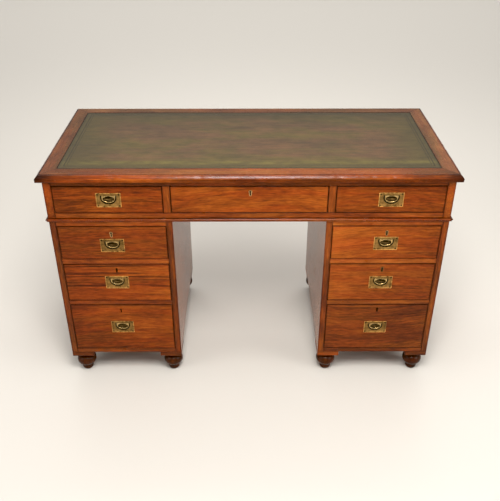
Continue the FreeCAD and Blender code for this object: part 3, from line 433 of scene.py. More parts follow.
class Shell:
    """Gathers boards into one mesh with the attributes that the wood reads."""

    def __init__(self):
        self.co, self.faces, self.mats = [], [], []
        self.data = {"loc": [], "half": [], "seed": [], "tone": [], "figure": []}

    def add(self, co, faces, loc, half, seed, tone, mat=0):
        n = len(self.co)
        self.co += [tuple(c) for c in co]
        self.faces += [[i + n for i in f] for f in faces]
        self.mats += [mat] * len(faces)
        self.data["loc"] += [tuple(q) for q in loc]
        for key, value in (("half", half), ("seed", seed)):
            self.data[key] += [tuple(value)] * len(co)
        # after the three tones: how much lighter the board gets towards its right end, and its figure
        tone = tuple(tone) + (0.0, 0.0, 0.0, 1.0)[len(tone) - 3:]
        self.data["tone"] += [(tone[0] + tone[3] * q[0] / half[0], tone[1], tone[2]) for q in loc]
        self.data["figure"] += [tone[4:7]] * len(co)

    def recolour(self, count, pick):
        """New tones for the last count points; pick(point, loc) gives three tones or None."""
        start = len(self.co) - count
        for i in range(start, len(self.co)):
            new = pick(self.co[i], self.data["loc"][i])
            if new is not None:
                self.data["tone"][i] = tuple(new)

    def refinish(self, count, pick):
        """New materials for the last count faces; pick(points) gives an index or None."""
        for i in range(len(self.faces) - count, len(self.faces)):
            new = pick([self.co[k] for k in self.faces[i]])
            if new is not None:
                self.mats[i] = new

    def object(self, name, node, materials, sharp=50, weighted=True):
        me = bpy.data.meshes.new(name)
        me.from_pydata(self.co, [], self.faces)
        for key, rows in self.data.items():
            a = me.attributes.new(key, "FLOAT_VECTOR", "POINT")
            a.data.foreach_set("vector", np.array(rows, np.float32).ravel())
        me.polygons.foreach_set("material_index", self.mats)
        me.polygons.foreach_set("use_smooth", [True] * len(me.polygons))
        for m in materials:
            me.materials.append(m)
        me.update()
        me.set_sharp_from_angle(angle=math.radians(sharp))
        me.validate()
        o = bpy.data.objects.new(name, me)
        bpy.context.scene.collection.objects.link(o)
        if weighted:
            w = o.modifiers.new("Normals", "WEIGHTED_NORMAL")
            w.keep_sharp = True
            w.weight = 100
        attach(o, BODY[node])
        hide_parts(node)
        return o


SLOT_OF = {s["node"]: s["material_slot"] for s in frame["record"]["subparts"]}


def board_data(co, grain, lo=None, hi=None):
    """Board coordinates: x along the grain, then the wider of the other two sides."""
    lo = co.min(0) if lo is None else lo
    hi = co.max(0) if hi is None else hi
    size = hi - lo
    if grain is None:
        grain = "XYZ"[int(np.argmax(size))]
    u = "XYZ".index(grain)
    v, w = [k for k in range(3) if k != u]
    if size[v] < size[w]:
        v, w = w, v
    order = [u, v, w]
    middle = (lo + hi) / 2
    return (co - middle)[:, order], (size / 2)[order]


def eased(points, faces, bevel, segments=2):
    """Flat faces made whole again and the outer arrises eased."""
    bm = bmesh.new()
    vs = [bm.verts.new(p) for p in points]
    for f in faces:
        try:
            bm.faces.new([vs[i] for i in f])
        except ValueError:
            pass
    bmesh.ops.recalc_face_normals(bm, faces=bm.faces)
    bmesh.ops.dissolve_limit(bm, angle_limit=math.radians(0.5), verts=bm.verts, edges=bm.edges)
    if bevel:
        sharp = [e for e in bm.edges if e.is_manifold and e.is_convex and e.calc_face_angle(0) > math.radians(38)]
        bmesh.ops.bevel(bm, geom=sharp, offset=bevel, segments=segments, profile=0.5, affect="EDGES", clamp_overlap=True)
    bmesh.ops.remove_doubles(bm, verts=bm.verts, dist=2e-6)
    bmesh.ops.recalc_face_normals(bm, faces=bm.faces)
    bm.verts.index_update()
    co = np.array([v.co[:] for v in bm.verts])
    out = [[v.index for v in f.verts] for f in bm.faces]
    bm.free()
    return co, out


def seed_of(*words):
    rng = random.Random("-".join(map(str, words)))
    return tuple(rng.uniform(-40, 40) for _ in range(3))


def spread(words, amount):
    return random.Random("tone-" + "-".join(map(str, words))).uniform(-amount, amount)


def timber(node, name=None, grain=None, bevel=0.0006, tone=(0, 0, 0), vary=0.05, materials=None, each=None):
    """A wooden node again, board by board, with eased arrises and its own grain."""
    shell = Shell()
    for k, (points, faces) in enumerate(solids(node)):
        g, b, q, m, edge = grain, bevel, tone, 0, None
        if each:
            extra = each(k, points.min(0), points.max(0)) or {}
            g, b, q, m = extra.get("grain", g), extra.get("bevel", b), extra.get("tone", q), extra.get("mat", m)
            edge = extra.get("front_edge")
        lo, hi = points.min(0), points.max(0)
        co, out = eased(points, faces, b)
        loc, half = board_data(co, g, lo, hi)
        shift = spread((node, k), vary)
        shell.add(co, out, loc, half, seed_of(node, k), (q[0] + shift, *q[1:]), m)
        if edge:
            # the board's front edge has a tone and a finish of its own
            at = lo[1] + 2e-4
            shell.recolour(len(co), lambda p, _: edge if p[1] < at else None)
            shell.refinish(len(out), lambda ps: m + 1 if all(p[1] < lo[1] + b + 2e-4 for p in ps) else None)
    materials = materials or [SLOT[SLOT_OF[node]]]
    return shell.object(name or node + "_wood", node, materials)


# ------------------------------------------------------------------ carcass
def rails_tone(k, lo, hi):
    """Front frame of the frieze: the rail under the top is in shade and darker, the lower one bright."""
    if hi[2] - lo[2] < 0.03 and lo[2] > 0.7:
        return {"tone": (-0.12, 0.0, 0.0)}
    if hi[0] - lo[0] > 1:
        return {"tone": (-0.01, 0.0, 0.20)}
    return {"grain": "Z", "tone": (0.02, 0.0, 0.05)}


def ends_tone(k, lo, hi):
    edge = (-0.02, 0.05, 0.0) if hi[0] < 0 else (0.06, 0.05, 0.05)
    return {"tone": (0.02, 0.0, 0.1), "front_edge": edge}


timber("frieze_front_frame", "frieze_rails", bevel=0.0005, each=rails_tone, vary=0.0, materials=[rail_wood])
timber("frieze_sides", "frieze_side_boards", grain="Y", bevel=0.0008, each=ends_tone, vary=0.0,
       materials=[carcass_wood, stile_wood])
timber("frieze_back", "frieze_back_board", grain="X", bevel=0.0008, tone=(-0.08, 0.0, 0.0))
timber("frieze_base_board", "frieze_dust_board", grain="X", bevel=0.0005)
timber("frieze_runners", "frieze_runner_strips", bevel=0.0005)
timber("top_panel", "top_core", grain="X", bevel=0.0005, tone=(-0.1, 0, 0))
for side in ("left", "right"):

    def stiles(k, lo, hi):
        outer_one = abs(lo[0] + hi[0]) > 0.8
        if side == "left":
            edge = (-0.17, 0.15, 0.30) if outer_one else (-0.16, 0.1, 0.12)
        else:
            edge = (-0.10, 0.15, 0.25) if outer_one else (-0.08, 0.1, 0.25)
        if outer_one:
            return {"tone": (-0.03, 0.1, 0.10), "front_edge": edge}
        return {"tone": (0.21, 0.05, 0.03) if side == "left" else (0.22, 0.05, 0.20), "front_edge": edge, "mat": 2}

    timber(f"{side}_pedestal_sides", f"{side}_pedestal_side_boards", grain="Z", bevel=0.0011, each=stiles, vary=0.0,
           materials=[panel_wood, stile_wood, knee_wood, stile_wood])
    timber(f"{side}_pedestal_back", f"{side}_pedestal_back_boards", grain="Z", bevel=0.0008, tone=(-0.12, 0, 0))
    
    def end_boards(k, lo, hi):
        # the board over the feet is darker than the one over the drawers
        return {"tone": (0.06, 0.0, 0.12, 0.03 if side == "left" else -0.08)} if lo[2] > 0.5 else {"tone": (-0.13, 0.0, 0.15)}

    timber(f"{side}_pedestal_boards", f"{side}_pedestal_end_boards", grain="X", bevel=0.0006, each=end_boards, vary=0.0)

    def frames(k, lo, hi):
        if hi[0] - lo[0] < 0.2:
            return {"tone": (0, 0, 0), "mat": 1}
        upper = lo[2] > 0.4
        if side == "left":
            return {"tone": (0.06, 0.0, 0.25) if upper else (-0.07, 0.0, 0.12, 0.05)}
        return {"tone": (0.17, 0.0, 0.22, -0.08) if upper else (0.06, 0.0, 0.25)}

    timber(
        f"{side}_pedestal_drawer_frames", f"{side}_pedestal_rails_and_runners", bevel=0.0006, each=frames,
        materials=[carcass_wood, lining_wood],
    )

# ------------------------------------------------------------------ drawers
DRAWERS = {
    "frieze_left": (-0.090, 0.25, 0.0, 0.015, 0.1, 0.05, 0.7),
    "frieze_centre": (0.085, 0.05, 0.05, -0.01, 0.3, 0.02, 1.0),
    "frieze_right": (-0.045, 0.05, 0.0, -0.03, 0.1, -0.1, 0.5),
    "left_upper": (-0.07, 0.0, 0.10, 0.05, 0.1, 0.1, 0.5),
    "left_middle": (0.01, 0.50, 0.05, 0.08, 0.0, 0.0, 0.3),
    "left_lower": (-0.05, 0.15, 0.0, 0.10, 0.15, 0.15, 0.8),
    "right_upper": (0.105, 0.12, 0.1, -0.17, 0.25, 0.12, 0.6),
    "right_middle": (0.02, 0.15, 0.15, -0.10, 0.1, -0.1, 0.5),
    "right_lower": (-0.16, 0.25, 0.3, -0.08, -0.4, -0.05, 0.6),
}
for label, tone in DRAWERS.items():
    timber(f"{label}_drawer_front", f"{label}_front_board", grain="X", bevel=0.0003, tone=tone, vary=0.0,
           materials=[frieze_wood if label.startswith("frieze") else drawer_wood])

    def lining(k, lo, hi):
        size = hi - lo
        if size[2] < 0.02:
            return {"grain": "X"}
        return {"grain": "Y" if size[1] > 0.1 else "X"}

    timber(f"{label}_drawer_box", f"{label}_drawer_linings", bevel=0.0006, each=lining, vary=0.08)

# ------------------------------------------------------------------ brass
DULL = {"right_middle_lock": 0.85, "right_upper_lock": 0.35, "left_upper_lock": 0.20}
RUBBED = {"frieze_left": 0.58, "frieze_right": 0.68, "right_upper": 0.45, "left_middle": 0.40, "right_middle": 0.20, "right_lower": 0.15}


def brassware(node, material, middle=None):
    """The fitting's own solids with coordinates from its middle; the second and later solids of a
    handle plate are its screws."""
    shell = Shell()
    lo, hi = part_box(node)
    mid = middle or ((lo.x + hi.x) / 2, lo.y, (lo.z + hi.z) / 2)
    plate = node.endswith("_plate")
    parts = solids(node)
    if node.endswith("_lock"):
        # from the middle of the escutcheon, or of the lock's case behind a bare keyhole
        at = parts[-1][0] if len(parts) > 2 else parts[0][0]
        mid = ((at[:, 0].min() + at[:, 0].max()) / 2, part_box(node.replace("_lock", "_drawer_front"))[0].y - 0.0003, (at[:, 2].min() + at[:, 2].max()) / 2)
    for k, (points, faces) in enumerate(parts):
        size = points.max(0) - points.min(0)
        screw = plate and size[0] < 0.02
        loc = np.stack([points[:, 0] - mid[0], points[:, 2] - mid[2], points[:, 1] - mid[1]], 1)
        shell.add(points, faces, loc, tuple(size / 2), seed_of(node), (1.0 if screw else DULL.get(node, 0.0), RUBBED.get(node.split("_handle")[0], 0.0), 0))
    return shell.object(node + "_brass", node, [material], sharp=32)


for n in list(NODES):
    if n.endswith("_handle_plate"):
        brassware(n, plate_brass)
    elif n.endswith("_handle_bail"):
        brassware(n, bail_brass)
    elif n.endswith("_lock"):
        brassware(n, lock_brass)


# ------------------------------------------------------------------ top: border boards, leather
def sweep_board(shell, profile, run, ends, axis, sign, seed, tone, wear=None, step=0.012, pick=None, finish=None):
    """One moulded board with mitred ends.  profile: (reach from the inner edge, height) round the
    section; run(reach) is the half length there; axis is the board's direction."""
    length = run(max(q[0] for q in profile))
    cuts = max(2, int(2 * length / step))
    n = len(profile)
    co, loc = [], []
    top = max(q[1] for q in profile)
    low = min(q[1] for q in profile)
    wide = max(q[0] for q in profile)
    for c in range(cuts + 1):
        f = c / cuts * 2 - 1
        for r, z in profile:
            along = f * run(r)
            rr, zz = (r, z) if wear is None else wear(along, r, z)
            out = ends + rr
            x, y = (along, out * sign) if axis == "X" else (out * sign, along)
            co.append((x, y, zz))
            loc.append((along, r - wide / 2, z - (top + low) / 2))
    faces = []
    for c in range(cuts):
        for k in range(n):
            a, b = c * n + k, c * n + (k + 1) % n
            faces.append([a, b, b + n, a + n])
    faces.append(list(range(n))[::-1])
    faces.append([cuts * n + k for k in range(n)])
    flip = (axis == "X") == (sign > 0)
    if flip:
        faces = [f[::-1] for f in faces]
    half = (length, wide / 2, (top - low) / 2)
    shell.add(co, faces, loc, half, seed, tone)
    if pick:
        shell.recolour(len(co), lambda _, at: pick(at[0] / length, at[1] + wide / 2, at[2]))
    if finish:
        shell.refinish(cuts * n + 2, lambda ps: finish([abs(p[1 if axis == "X" else 0]) - ends for p in ps]))


(blo, bhi), (llo, lhi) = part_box("top_border"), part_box("writing_leather")
inner_x, inner_y, outer = lhi.x, lhi.y, bhi.x - lhi.x
z_top, z_low = bhi.z, blo.z


def arc(a, b, sag, n):
    """n points after a along the arc to b that bulges by sag to the right of the way there."""
    a, b = Vector(a), Vector(b)
    chord = b - a
    right = Vector((chord.y, -chord.x)).normalized()
    half = chord.length / 2
    radius = (half * half + sag * sag) / (2 * abs(sag))
    centre = (a + b) / 2 + right * ((sag - radius) if sag > 0 else (sag + radius))
    a0 = math.atan2(a.y - centre.y, a.x - centre.x)
    a1 = math.atan2(b.y - centre.y, b.x - centre.x)
    turn = (a1 - a0 + math.pi) % (2 * math.pi) - math.pi
    return [(centre.x + radius * math.cos(a0 + turn * k / n), centre.y + radius * math.sin(a0 + turn * k / n)) for k in range(1, n + 1)]


FOOT = 0.0092  # foot of the moulding over the border's underside


def thumb(n=14):
    """Section of the border: flat, quirk, thumb moulding with a steeper nose, upright, eased foot."""
    pts = [(0.0, z_low), (0.0, z_top - 0.0005), (0.0005, z_top), (outer - 0.0140, z_top), (outer - 0.0132, z_top - 0.0004), (outer - 0.0130, z_top - 0.0014)]
    middle = (outer - 0.0050, z_top - 0.0050)
    up = arc((outer, z_low + FOOT), middle, 0.00055, n // 2) + arc(middle, (outer - 0.0130, z_top - 0.0013), 0.00105, n)
    pts += [(min(outer, r), z) for r, z in reversed(up[:-1])] + [(outer, z_low + FOOT), (outer - 0.0002, z_low + FOOT - 0.0004)]
    pts += [(outer - 0.0007, z_low + FOOT - 0.0008), (outer - 0.0007, z_low + FOOT - 0.0016)]
    pts += [(outer - 0.0007, z_low + 0.0020), (outer - 0.0010, z_low + 0.0008), (outer - 0.0018, z_low)]
    return pts


def knocks(label, count, length):
    rng = random.Random("knocks-" + label)
    return [(rng.uniform(-length, length), rng.uniform(0.004, 0.012), rng.uniform(0.0003, 0.0010)) for _ in range(count)]


def worn_edge(label, length, count):
    dents = knocks(label, count, length)

    def wear(along, r, z):
        if r < outer - 0.0129:
            return r, z
        share = min(1.0, (r - (outer - 0.0129)) / 0.006)
        wave = noise.noise(Vector((along * 9, 3.1, len(label)))) * 0.5 + 0.5
        fine = noise.noise(Vector((along * 70, 7.7, len(label)))) * 0.5 + 0.5
        cut = (wave * 0.00045 + fine * 0.00028) * share
        for at, wide, deep in dents:
            cut += deep * share * math.exp(-(((along - at) / wide) ** 2))
        return r - cut, z - cut * 0.35 * share
    return wear


def border_tone(label):
    """Lighter in the middle of the front board than at its ends; the moulding darker than the flat."""
    base, edge, grey = {
        "front": (0.088, -0.225, 0.0), "back": (-0.09, -0.30, 0.62), "left": (-0.11, -0.30, 0.50), "right": (-0.01, -0.26, 0.80),
    }[label]

    def pick(f, r, up):
        if label == "front":
            fall = 0.34 * abs(f) ** 3.4 if f < 0 else 0.36 * f ** 6
        else:
            fall = 0.03 * f * f
        low = -0.0035 if label == "front" and f < -0.3 else 0.0014
        if r > outer - 0.0020 and up < -0.0022:
            glow = float(np.interp(f, (-1.0, -0.85, -0.75, -0.60, -0.45, -0.25), (0.0, 0.03, 0.07, 0.13, 0.13, 0.0))) if label == "front" else -0.06
            return base - 0.155 + glow - 0.14 * f ** 6, 0.12, 0.0
        if r > outer - 0.0006 and up < low:
            glow = 0.05 * min(1.0, max(0.0, (-0.25 - f) / 0.25)) if label == "front" else 0.0
            return base - 0.17 + glow - 0.14 * f ** 6, 0.12, 0.0
        if r > outer - 0.0133:
            # painted highlight a little way in from the left corner, darker at the corner itself
            glow = float(np.interp(f, (-1.0, -0.93, -0.86, -0.79, -0.71, -0.62, -0.50, -0.30), (-0.42, -0.27, -0.12, 0.05, 0.22, 0.20, 0.09, 0.0))) if label == "front" else 0.0
            return base + edge + glow - 0.4 * (fall if f > 0 else 0.0), 0.12, 0.0
        return base + 0.10 * (r / (outer - 0.0133) - 0.5) - fall, 0.08, grey
    return pick


shell = Shell()
section = thumb()
for label, axis, sign, ends, run in (
    ("front", "X", -1, inner_y, lambda r: inner_x + r),
    ("back", "X", 1, inner_y, lambda r: inner_x + r),
    ("left", "Y", -1, inner_x, lambda r: inner_y + r),
    ("right", "Y", 1, inner_x, lambda r: inner_y + r),
):
    length = run(outer)
    sweep_board(
        shell, section, run, ends, axis, sign, seed_of("border", label), (0, 0, 0),
        worn_edge(label, length, 12 if axis == "X" else 5), step=0.005, pick=border_tone(label),
        finish=lambda rs: None if min(rs) < outer - 0.0150 else 1 if min(rs) < outer - 0.0035 else 2,
    )
shell.object("border_boards", "top_border", [border_wood, edge_wood, upright_wood], sharp=40)


def leather_material():
    t = Tree("tooled_leather")
    loc, half = t.attr("loc"), t.attr("half")
    x, y, z = t.xyz(loc)
    hx, hy, hz = t.xyz(half)
    dx = t.math("SUBTRACT", hx, t.math("ABSOLUTE", x))
    dy = t.math("SUBTRACT", hy, t.math("ABSOLUTE", y))
    edge = t.math("MINIMUM", dx, dy)
    broad = t.noise(t.vec("MULTIPLY", loc, (3.4, 9.0, 1.0)), detail=5.0, rough=0.65, distortion=0.2)
    cloud = t.noise(t.vec("MULTIPLY", t.vec("ADD", loc, (3.3, 1.7, 0.0)), (4.2, 13.0, 1.0)), detail=5.0, rough=0.65, distortion=0.25)
    patch = t.noise(t.vec("MULTIPLY", t.vec("ADD", loc, (1.1, 5.2, 0.0)), (17.0, 30.0, 1.0)), detail=4.0, rough=0.65)
    streak = t.noise(t.vec("MULTIPLY", loc, (8.0, 95.0, 1.0)), detail=4.0, rough=0.65)
    fine = t.noise(t.vec("SCALE", loc, 260.0), detail=3.0, rough=0.6)
    uneven = t.math("ADD", t.math("MULTIPLY", t.math("SUBTRACT", patch, 0.5), 0.9), t.math("MULTIPLY", t.math("SUBTRACT", streak, 0.5), 0.7))
    # moss green along the front and in patches, faded to brown in the middle, dark clouds between
    fade = t.math("ADD", t.span(broad, 0.36, 0.60), uneven)
    fade = t.math("MULTIPLY", fade, t.span(t.math("ADD", y, t.math("MULTIPLY", cloud, 0.05)), -0.185, -0.120), clamp=True)
    fade = t.math("MULTIPLY", fade, t.span(t.math("ADD", dx, t.math("MULTIPLY", cloud, 0.08)), 0.06, 0.20))
    green = (0.083, 0.058, 0.015)
    brown = (0.104, 0.050, 0.024)
    colour = t.mix(t.math("MULTIPLY", fade, 0.85), green, brown)
    dark = t.math("ADD", t.math("SUBTRACT", 1.0, t.span(cloud, 0.34, 0.62)), uneven, clamp=True)
    dark = t.math("MULTIPLY", dark, t.span(y, -0.200, -0.120, 0.30, 1.0))
    colour = t.mix(t.math("MULTIPLY", dark, 0.55), colour, (0.050, 0.030, 0.014))
    # painted shade towards the back; darker towards the ends as well
    back = t.span(t.math("ADD", y, t.math("MULTIPLY", cloud, 0.06)), 0.13, 0.26)
    ends = t.math("MULTIPLY", t.math("SUBTRACT", 1.0, t.span(dx, 0.0, 0.22)), 0.45)
    colour = t.mix(t.math("MAXIMUM", t.math("MULTIPLY", back, 0.75), ends), colour, (0.041, 0.031, 0.011))
    # rubbed to a livelier green in a band along the front
    band = t.math("SUBTRACT", 1.0, t.span(t.math("ABSOLUTE", t.math("SUBTRACT", t.math("ADD", y, hy), 0.042)), 0.004, 0.020))
    colour = t.mix(t.math("MULTIPLY", band, t.span(patch, 0.30, 0.62, 0.10, 0.65)), colour, (0.098, 0.079, 0.018))
    colour = t.mix(t.span(uneven, -0.30, 0.30), t.mix(1.0, colour, (0.70, 0.70, 0.74), "MULTIPLY"), t.mix(1.0, colour, (1.26, 1.22, 1.16), "MULTIPLY"))
    colour = t.mix(t.math("MULTIPLY", t.span(fine, 0.35, 0.8), 0.30), colour, t.mix(1.0, colour, (0.6, 0.6, 0.6), "MULTIPLY"))
    rim = t.math("SUBTRACT", 1.0, t.span(edge, 0.0, 0.016))
    colour = t.mix(t.math("MULTIPLY", rim, 0.6), colour, (0.028, 0.024, 0.009))
    joint = t.math("SUBTRACT", 1.0, t.math("MINIMUM", t.span(dx, 0.0006, 0.0032), t.span(dy, 0.0012, 0.0062)))
    colour = t.mix(t.math("MULTIPLY", joint, 0.85), colour, (0.012, 0.008, 0.003))
    for at, wide in ((0.0165, 0.0019), (0.0245, 0.0012)):
        line = t.math("SUBTRACT", 1.0, t.span(t.math("ABSOLUTE", t.math("SUBTRACT", edge, at)), wide * 0.5, wide * 1.4))
        colour = t.mix(t.math("MULTIPLY", line, t.span(patch, 0.30, 0.55, 0.45, 0.90)), colour, (0.020, 0.015, 0.007))
    grain = t.voronoi(t.vec("SCALE", loc, 1.0), 900.0)
    soft = t.noise(t.vec("SCALE", loc, 30.0), detail=3.0)
    height = t.math("ADD", t.math("MULTIPLY", grain, 0.6), t.math("MULTIPLY", fine, 0.5))
    normal = t.bump(soft, 0.25, 0.002)
    normal = t.bump(height, 0.35, 0.0003, normal)
    rough = t.math("ADD", 0.40, t.math("MULTIPLY", broad, 0.16))
    t.principled(Base_Color=colour, Roughness=rough, IOR=1.42, Specular_IOR_Level=0.38, Normal=normal)
    return t.mat


def leather_sheet():
    """Thin skiver laid in the border: rolled edge, two tooled lines, faint unevenness."""
    lo, hi = llo, lhi
    hx, hy = hi.x, hi.y
    insets = [0.0, 0.0004, 0.0012, 0.006, 0.0130, 0.0154, 0.0160, 0.0165, 0.0170, 0.0176, 0.0210, 0.0235, 0.0241, 0.0245, 0.0249, 0.0255, 0.032, 0.050]

    def marks(half):
        edge = [half - q for q in insets]
        inside = edge[-1]
        count = int(2 * inside / 0.030)
        middle = [-inside + 2 * inside * k / count for k in range(1, count)]
        return [-q for q in edge] + middle + edge[::-1]

    xs, ys = marks(hx), marks(hy)
    top = hi.z
    co, loc, faces = [], [], []
    for y in ys:
        for x in xs:
            edge = min(hx - abs(x), hy - abs(y))
            z = top
            if edge < 0.0012:
                z -= 0.0007 * (1 - edge / 0.0012) ** 2
            for at, wide, deep in ((0.0165, 0.0009, 0.00040), (0.0245, 0.0007, 0.00028)):
                z -= deep * max(0.0, 1 - (abs(edge - at) / wide) ** 2)
            z -= 0.00022 * (noise.noise(Vector((x * 11, y * 11, 2.0))) * 0.5 + 0.5) * min(1.0, edge / 0.02)
            co.append((x, y, z))
            loc.append((x, y, z - top))
    nx, ny = len(xs), len(ys)
    for j in range(ny - 1):
        for i in range(nx - 1):
            a = j * nx + i
            faces.append([a, a + 1, a + nx + 1, a + nx])
    ring = [i for i in range(nx)] + [j * nx + nx - 1 for j in range(1, ny)] + [(ny - 1) * nx + i for i in range(nx - 2, -1, -1)] + [j * nx for j in range(ny - 2, 0, -1)]
    start = len(co)
    for i in ring:
        co.append((co[i][0], co[i][1], lo.z))
        loc.append((co[i][0], co[i][1], lo.z - top))
    n = len(ring)
    for k in range(n):
        a, b = ring[k], ring[(k + 1) % n]
        faces.append([b, a, start + k, start + (k + 1) % n])
    faces.append([start + k for k in range(n)][::-1])
    s = Shell()
    s.add(co, faces, loc, (hx, hy, 0.001), (0, 0, 0), (0, 0, 0))
    return s.object("leather_skiver", "writing_leather", [leather_material()], sharp=70)


leather_sheet()


# ------------------------------------------------------------------ waist moulding
def waist():
    lo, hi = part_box("waist_moulding")
    fx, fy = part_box("frieze_sides")[1].x, -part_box("frieze_sides")[0].y
    z0, z1 = lo.z, hi.z
    # reach from the frieze's face
    out = hi.x - fx
    stem = out - 0.0031
    pts = [(0.0, z0), (stem, z0)] + arc((stem, z0), (stem, z0 + 0.0032), 0.0008, 4)
    pts += [(0.0017, z0 + 0.0033), (0.0017, z0 + 0.0039), (stem, z0 + 0.0040)]
    pts += arc((stem, z0 + 0.0040), (stem, z1 - 0.0012), 0.0031, 12)
    pts += [(0.0018, z1 - 0.0012), (0.0018, z1 - 0.0002), (0.0015, z1), (0.0, z1)]
    s = Shell()

    def strip(axis, sign, seed, tone):
        n = len(pts)
        co, loc, faces = [], [], []
        cuts = 180 if axis == "X" else 80
        for c in range(cuts + 1):
            f = c / cuts
            for r, z in pts:
                if axis == "X":
                    x = -(fx + r) + f * 2 * (fx + r)
                    y = -(fy + r)
                    along = x
                else:
                    y = -(fy + r) + f * (2 * fy + r)
                    x = sign * (fx + r)
                    along = y
                cut = 0.00028 * (noise.noise(Vector((along * 35, z * 10, seed[0]))) * 0.5 + 0.5) * min(1, r / 0.004)
                if axis == "X":
                    y += cut
                else:
                    x -= sign * cut
                co.append((x, y, z))
                loc.append((along, z - (z0 + z1) / 2, r - out / 2))
        for c in range(cuts):
            for k in range(n):
                a, b = c * n + k, c * n + (k + 1) % n
                faces.append([a, b, b + n, a + n])
        faces.append(list(range(n))[::-1])
        faces.append([cuts * n + k for k in range(n)])
        if axis == "Y" and sign > 0:
            pass
        elif axis == "Y":
            faces = [f[::-1] for f in faces]
        s.add(co, faces, loc, (fx, (z1 - z0) / 2, out / 2), seed, tone)
        # painted shade in the quirk on top and under the nosing
        s.recolour(len(co), lambda q, _: (tone[0] - 0.30, 0.0, 0.0) if q[2] > z1 - 0.0014 or q[2] < z0 + 0.0002 else None)

    strip("X", -1, seed_of("waist front"), (0.03, 0.0, 0.1))
    strip("Y", -1, seed_of("waist left"), (0.0, 0.0, 0.1))
    strip("Y", 1, seed_of("waist right"), (0.0, 0.0, 0.1))
    o = s.object("waist_bead", "waist_moulding", [bead_wood], sharp=40)
    bm = bmesh.new()
    bm.from_mesh(o.data)
    bmesh.ops.recalc_face_normals(bm, faces=bm.faces)
    bm.to_mesh(o.data)
    bm.free()
    return o


waist()


# ------------------------------------------------------------------ feet
def feet(side):
    node = f"{side}_pedestal_feet"
    s = Shell()
    for k, (points, faces) in enumerate(solids(node)):
        lo, hi = points.min(0), points.max(0)
        if hi[2] - lo[2] < 0.03:  # corner block
            co, out = eased(points, faces, 0.0008)
            loc, half = board_data(co, "X", lo, hi)
            # the knee-hole's block of the right pedestal is the light one
            light = side == "right" and hi[0] < 0.35
            s.add(co, out, loc, half, seed_of(node, k), (0.05 if light else -0.22, 0.0, 0.1), 1)
            continue
        cx, cy = (lo[0] + hi[0]) / 2, (lo[1] + hi[1]) / 2
        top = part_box(node)[1].z
        block = 0.0785
        # half section of the turning: ball, quirk, bun, collar, spigot
        prof = [(0.0, 0.0), (0.0134, 0.0), (0.0142, 0.0006)]
        prof += arc((0.0142, 0.0006), (0.0195, 0.0120), 0.0019, 7) + arc((0.0195, 0.0120), (0.0190, 0.0195), 0.0005, 3)
        prof += [(0.0185, 0.0200), (0.0168, 0.0205), (0.0168, 0.0225), (0.0206, 0.0232), (0.0220, 0.0237)]
        prof += arc((0.0220, 0.0237), (0.0220, 0.0613), 0.0110, 20)
        prof += [(0.0210, 0.0619), (0.0185, 0.0625), (0.0185, 0.0645), (0.0205, 0.0652)]
        prof += arc((0.0210, 0.0655), (0.0210, 0.0750), 0.0022, 8)
        prof += [(0.0190, 0.0760), (0.0190, block), (0.0110, block), (0.0110, top), (0.0, top)]
        seg = 72
        co, loc, out = [], [], []
        for r, z in prof:
            if r == 0.0:
                co.append((cx, cy, z))
                loc.append((z - 0.05, 0, 0))
                continue
            for j in range(seg):
                ang = 2 * math.pi * j / seg
                co.append((cx + r * math.cos(ang), cy + r * math.sin(ang), z))
                loc.append((z - 0.05, r * math.cos(ang), r * math.sin(ang)))
        start = [0]
        for r, z in prof:
            start.append(start[-1] + (1 if r == 0.0 else seg))
        for i in range(len(prof) - 1):
            r0, r1 = prof[i][0], prof[i + 1][0]
            for j in range(seg):
                jj = (j + 1) % seg
                if r0 == 0.0:
                    out.append([start[i], start[i + 1] + jj, start[i + 1] + j])
                elif r1 == 0.0:
                    out.append([start[i] + j, start[i] + jj, start[i + 1]])
                else:
                    out.append([start[i] + j, start[i] + jj, start[i + 1] + jj, start[i + 1] + j])
        s.add(co, out, loc, (0.4, 0.4, 0.4), seed_of(node, k), (spread((node, k), 0.05) - 0.19, 0.0, 0.0))
    s.object(f"{side}_turned_feet", node, [turned_wood, carcass_wood], sharp=45)


feet("left")
feet("right")

# ------------------------------------------------------------------ floor, light, camera
def floor():
    """Plain pale floor, one colour all over."""
    me = bpy.data.meshes.new("floor")
    r = 14.0
    me.from_pydata([(-r, -r, 0), (r, -r, 0), (r, r, 0), (-r, r, 0)], [], [(0, 1, 2, 3)])
    o = bpy.data.objects.new("floor", me)
    bpy.context.scene.collection.objects.link(o)
    t = Tree("pale_floor")
    t.principled(Base_Color=(0.625, 0.585, 0.525), Roughness=0.6, IOR=1.35)
    me.materials.append(t.mat)


floor()


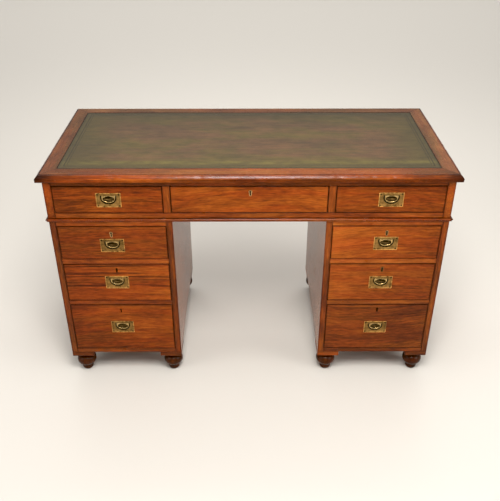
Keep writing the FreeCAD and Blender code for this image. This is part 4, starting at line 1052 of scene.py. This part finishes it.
def area(name, at, aim, size, power, spread=180):
    light = bpy.data.lights.new(name, "AREA")
    light.shape = "RECTANGLE"
    light.size, light.size_y = size
    light.energy = power
    light.spread = math.radians(spread)
    o = bpy.data.objects.new(name, light)
    o.location = at
    o.rotation_euler = (Vector(aim) - Vector(at)).to_track_quat("-Z", "Y").to_euler()
    bpy.context.scene.collection.objects.link(o)
    return o


area("key_softbox", (0.08, -1.45, 2.4), (0, -0.2, 0.4), (0.8, 0.9), 62)
area("top_softbox", (0.11, -0.38, 2.6), (0.11, -0.38, 0.8), (0.75, 0.5), 7)
area("back_softbox", (0.0, 5.0, 5.5), (0, 5.5, 0), (11.0, 6.0), 180)
area("backdrop_softbox", (0.0, 6.5, 6.0), (0, 6.5, 0), (12.0, 5.0), 112, spread=100)
area("floor_softbox", (0.0, 1.6, 3.2), (0, 1.6, 0), (3.0, 0.8), 23, spread=120)
area("left_softbox", (-2.6, -1.6, 1.6), (-0.7, 0, 0.1), (1.4, 1.4), 25)
area("right_softbox", (2.6, -1.6, 1.6), (0.7, 0, 0.1), (1.4, 1.4), 38)

world = bpy.data.worlds.new("studio")
bpy.context.scene.world = world
world.use_nodes = True
wn = world.node_tree.nodes
wn["Background"].inputs[0].default_value = (1.0, 0.995, 0.985, 1)
wn["Background"].inputs[1].default_value = 0.38

cam_data = bpy.data.cameras.new("camera")
cam_data.sensor_width = 36.0
cam_data.lens = 670.1 / 501 * 36.0
cam_data.clip_start, cam_data.clip_end = 0.05, 100
cam = bpy.data.objects.new("camera", cam_data)
cam.location = (-0.00433, -2.0772, 1.6307)
cam.rotation_euler = Euler((math.radians(90 - 31.86), 0, -0.0034), "XYZ")
bpy.context.scene.collection.objects.link(cam)
scene = bpy.context.scene
scene.camera = cam
scene.view_settings.view_transform = "Standard"
scene.view_settings.look = "None"
scene.view_settings.exposure = 0.0
scene.view_settings.use_curve_mapping = True
scene.view_settings.curve_mapping.black_level = (0.002, 0.0025, 0.0045)
scene.view_settings.curve_mapping.update()
scene.cycles.use_denoising = True
scene.cycles.max_bounces = 10
scene.cycles.diffuse_bounces = 5
scene.cycles.glossy_bounces = 5

bpy.context.view_layer.update()
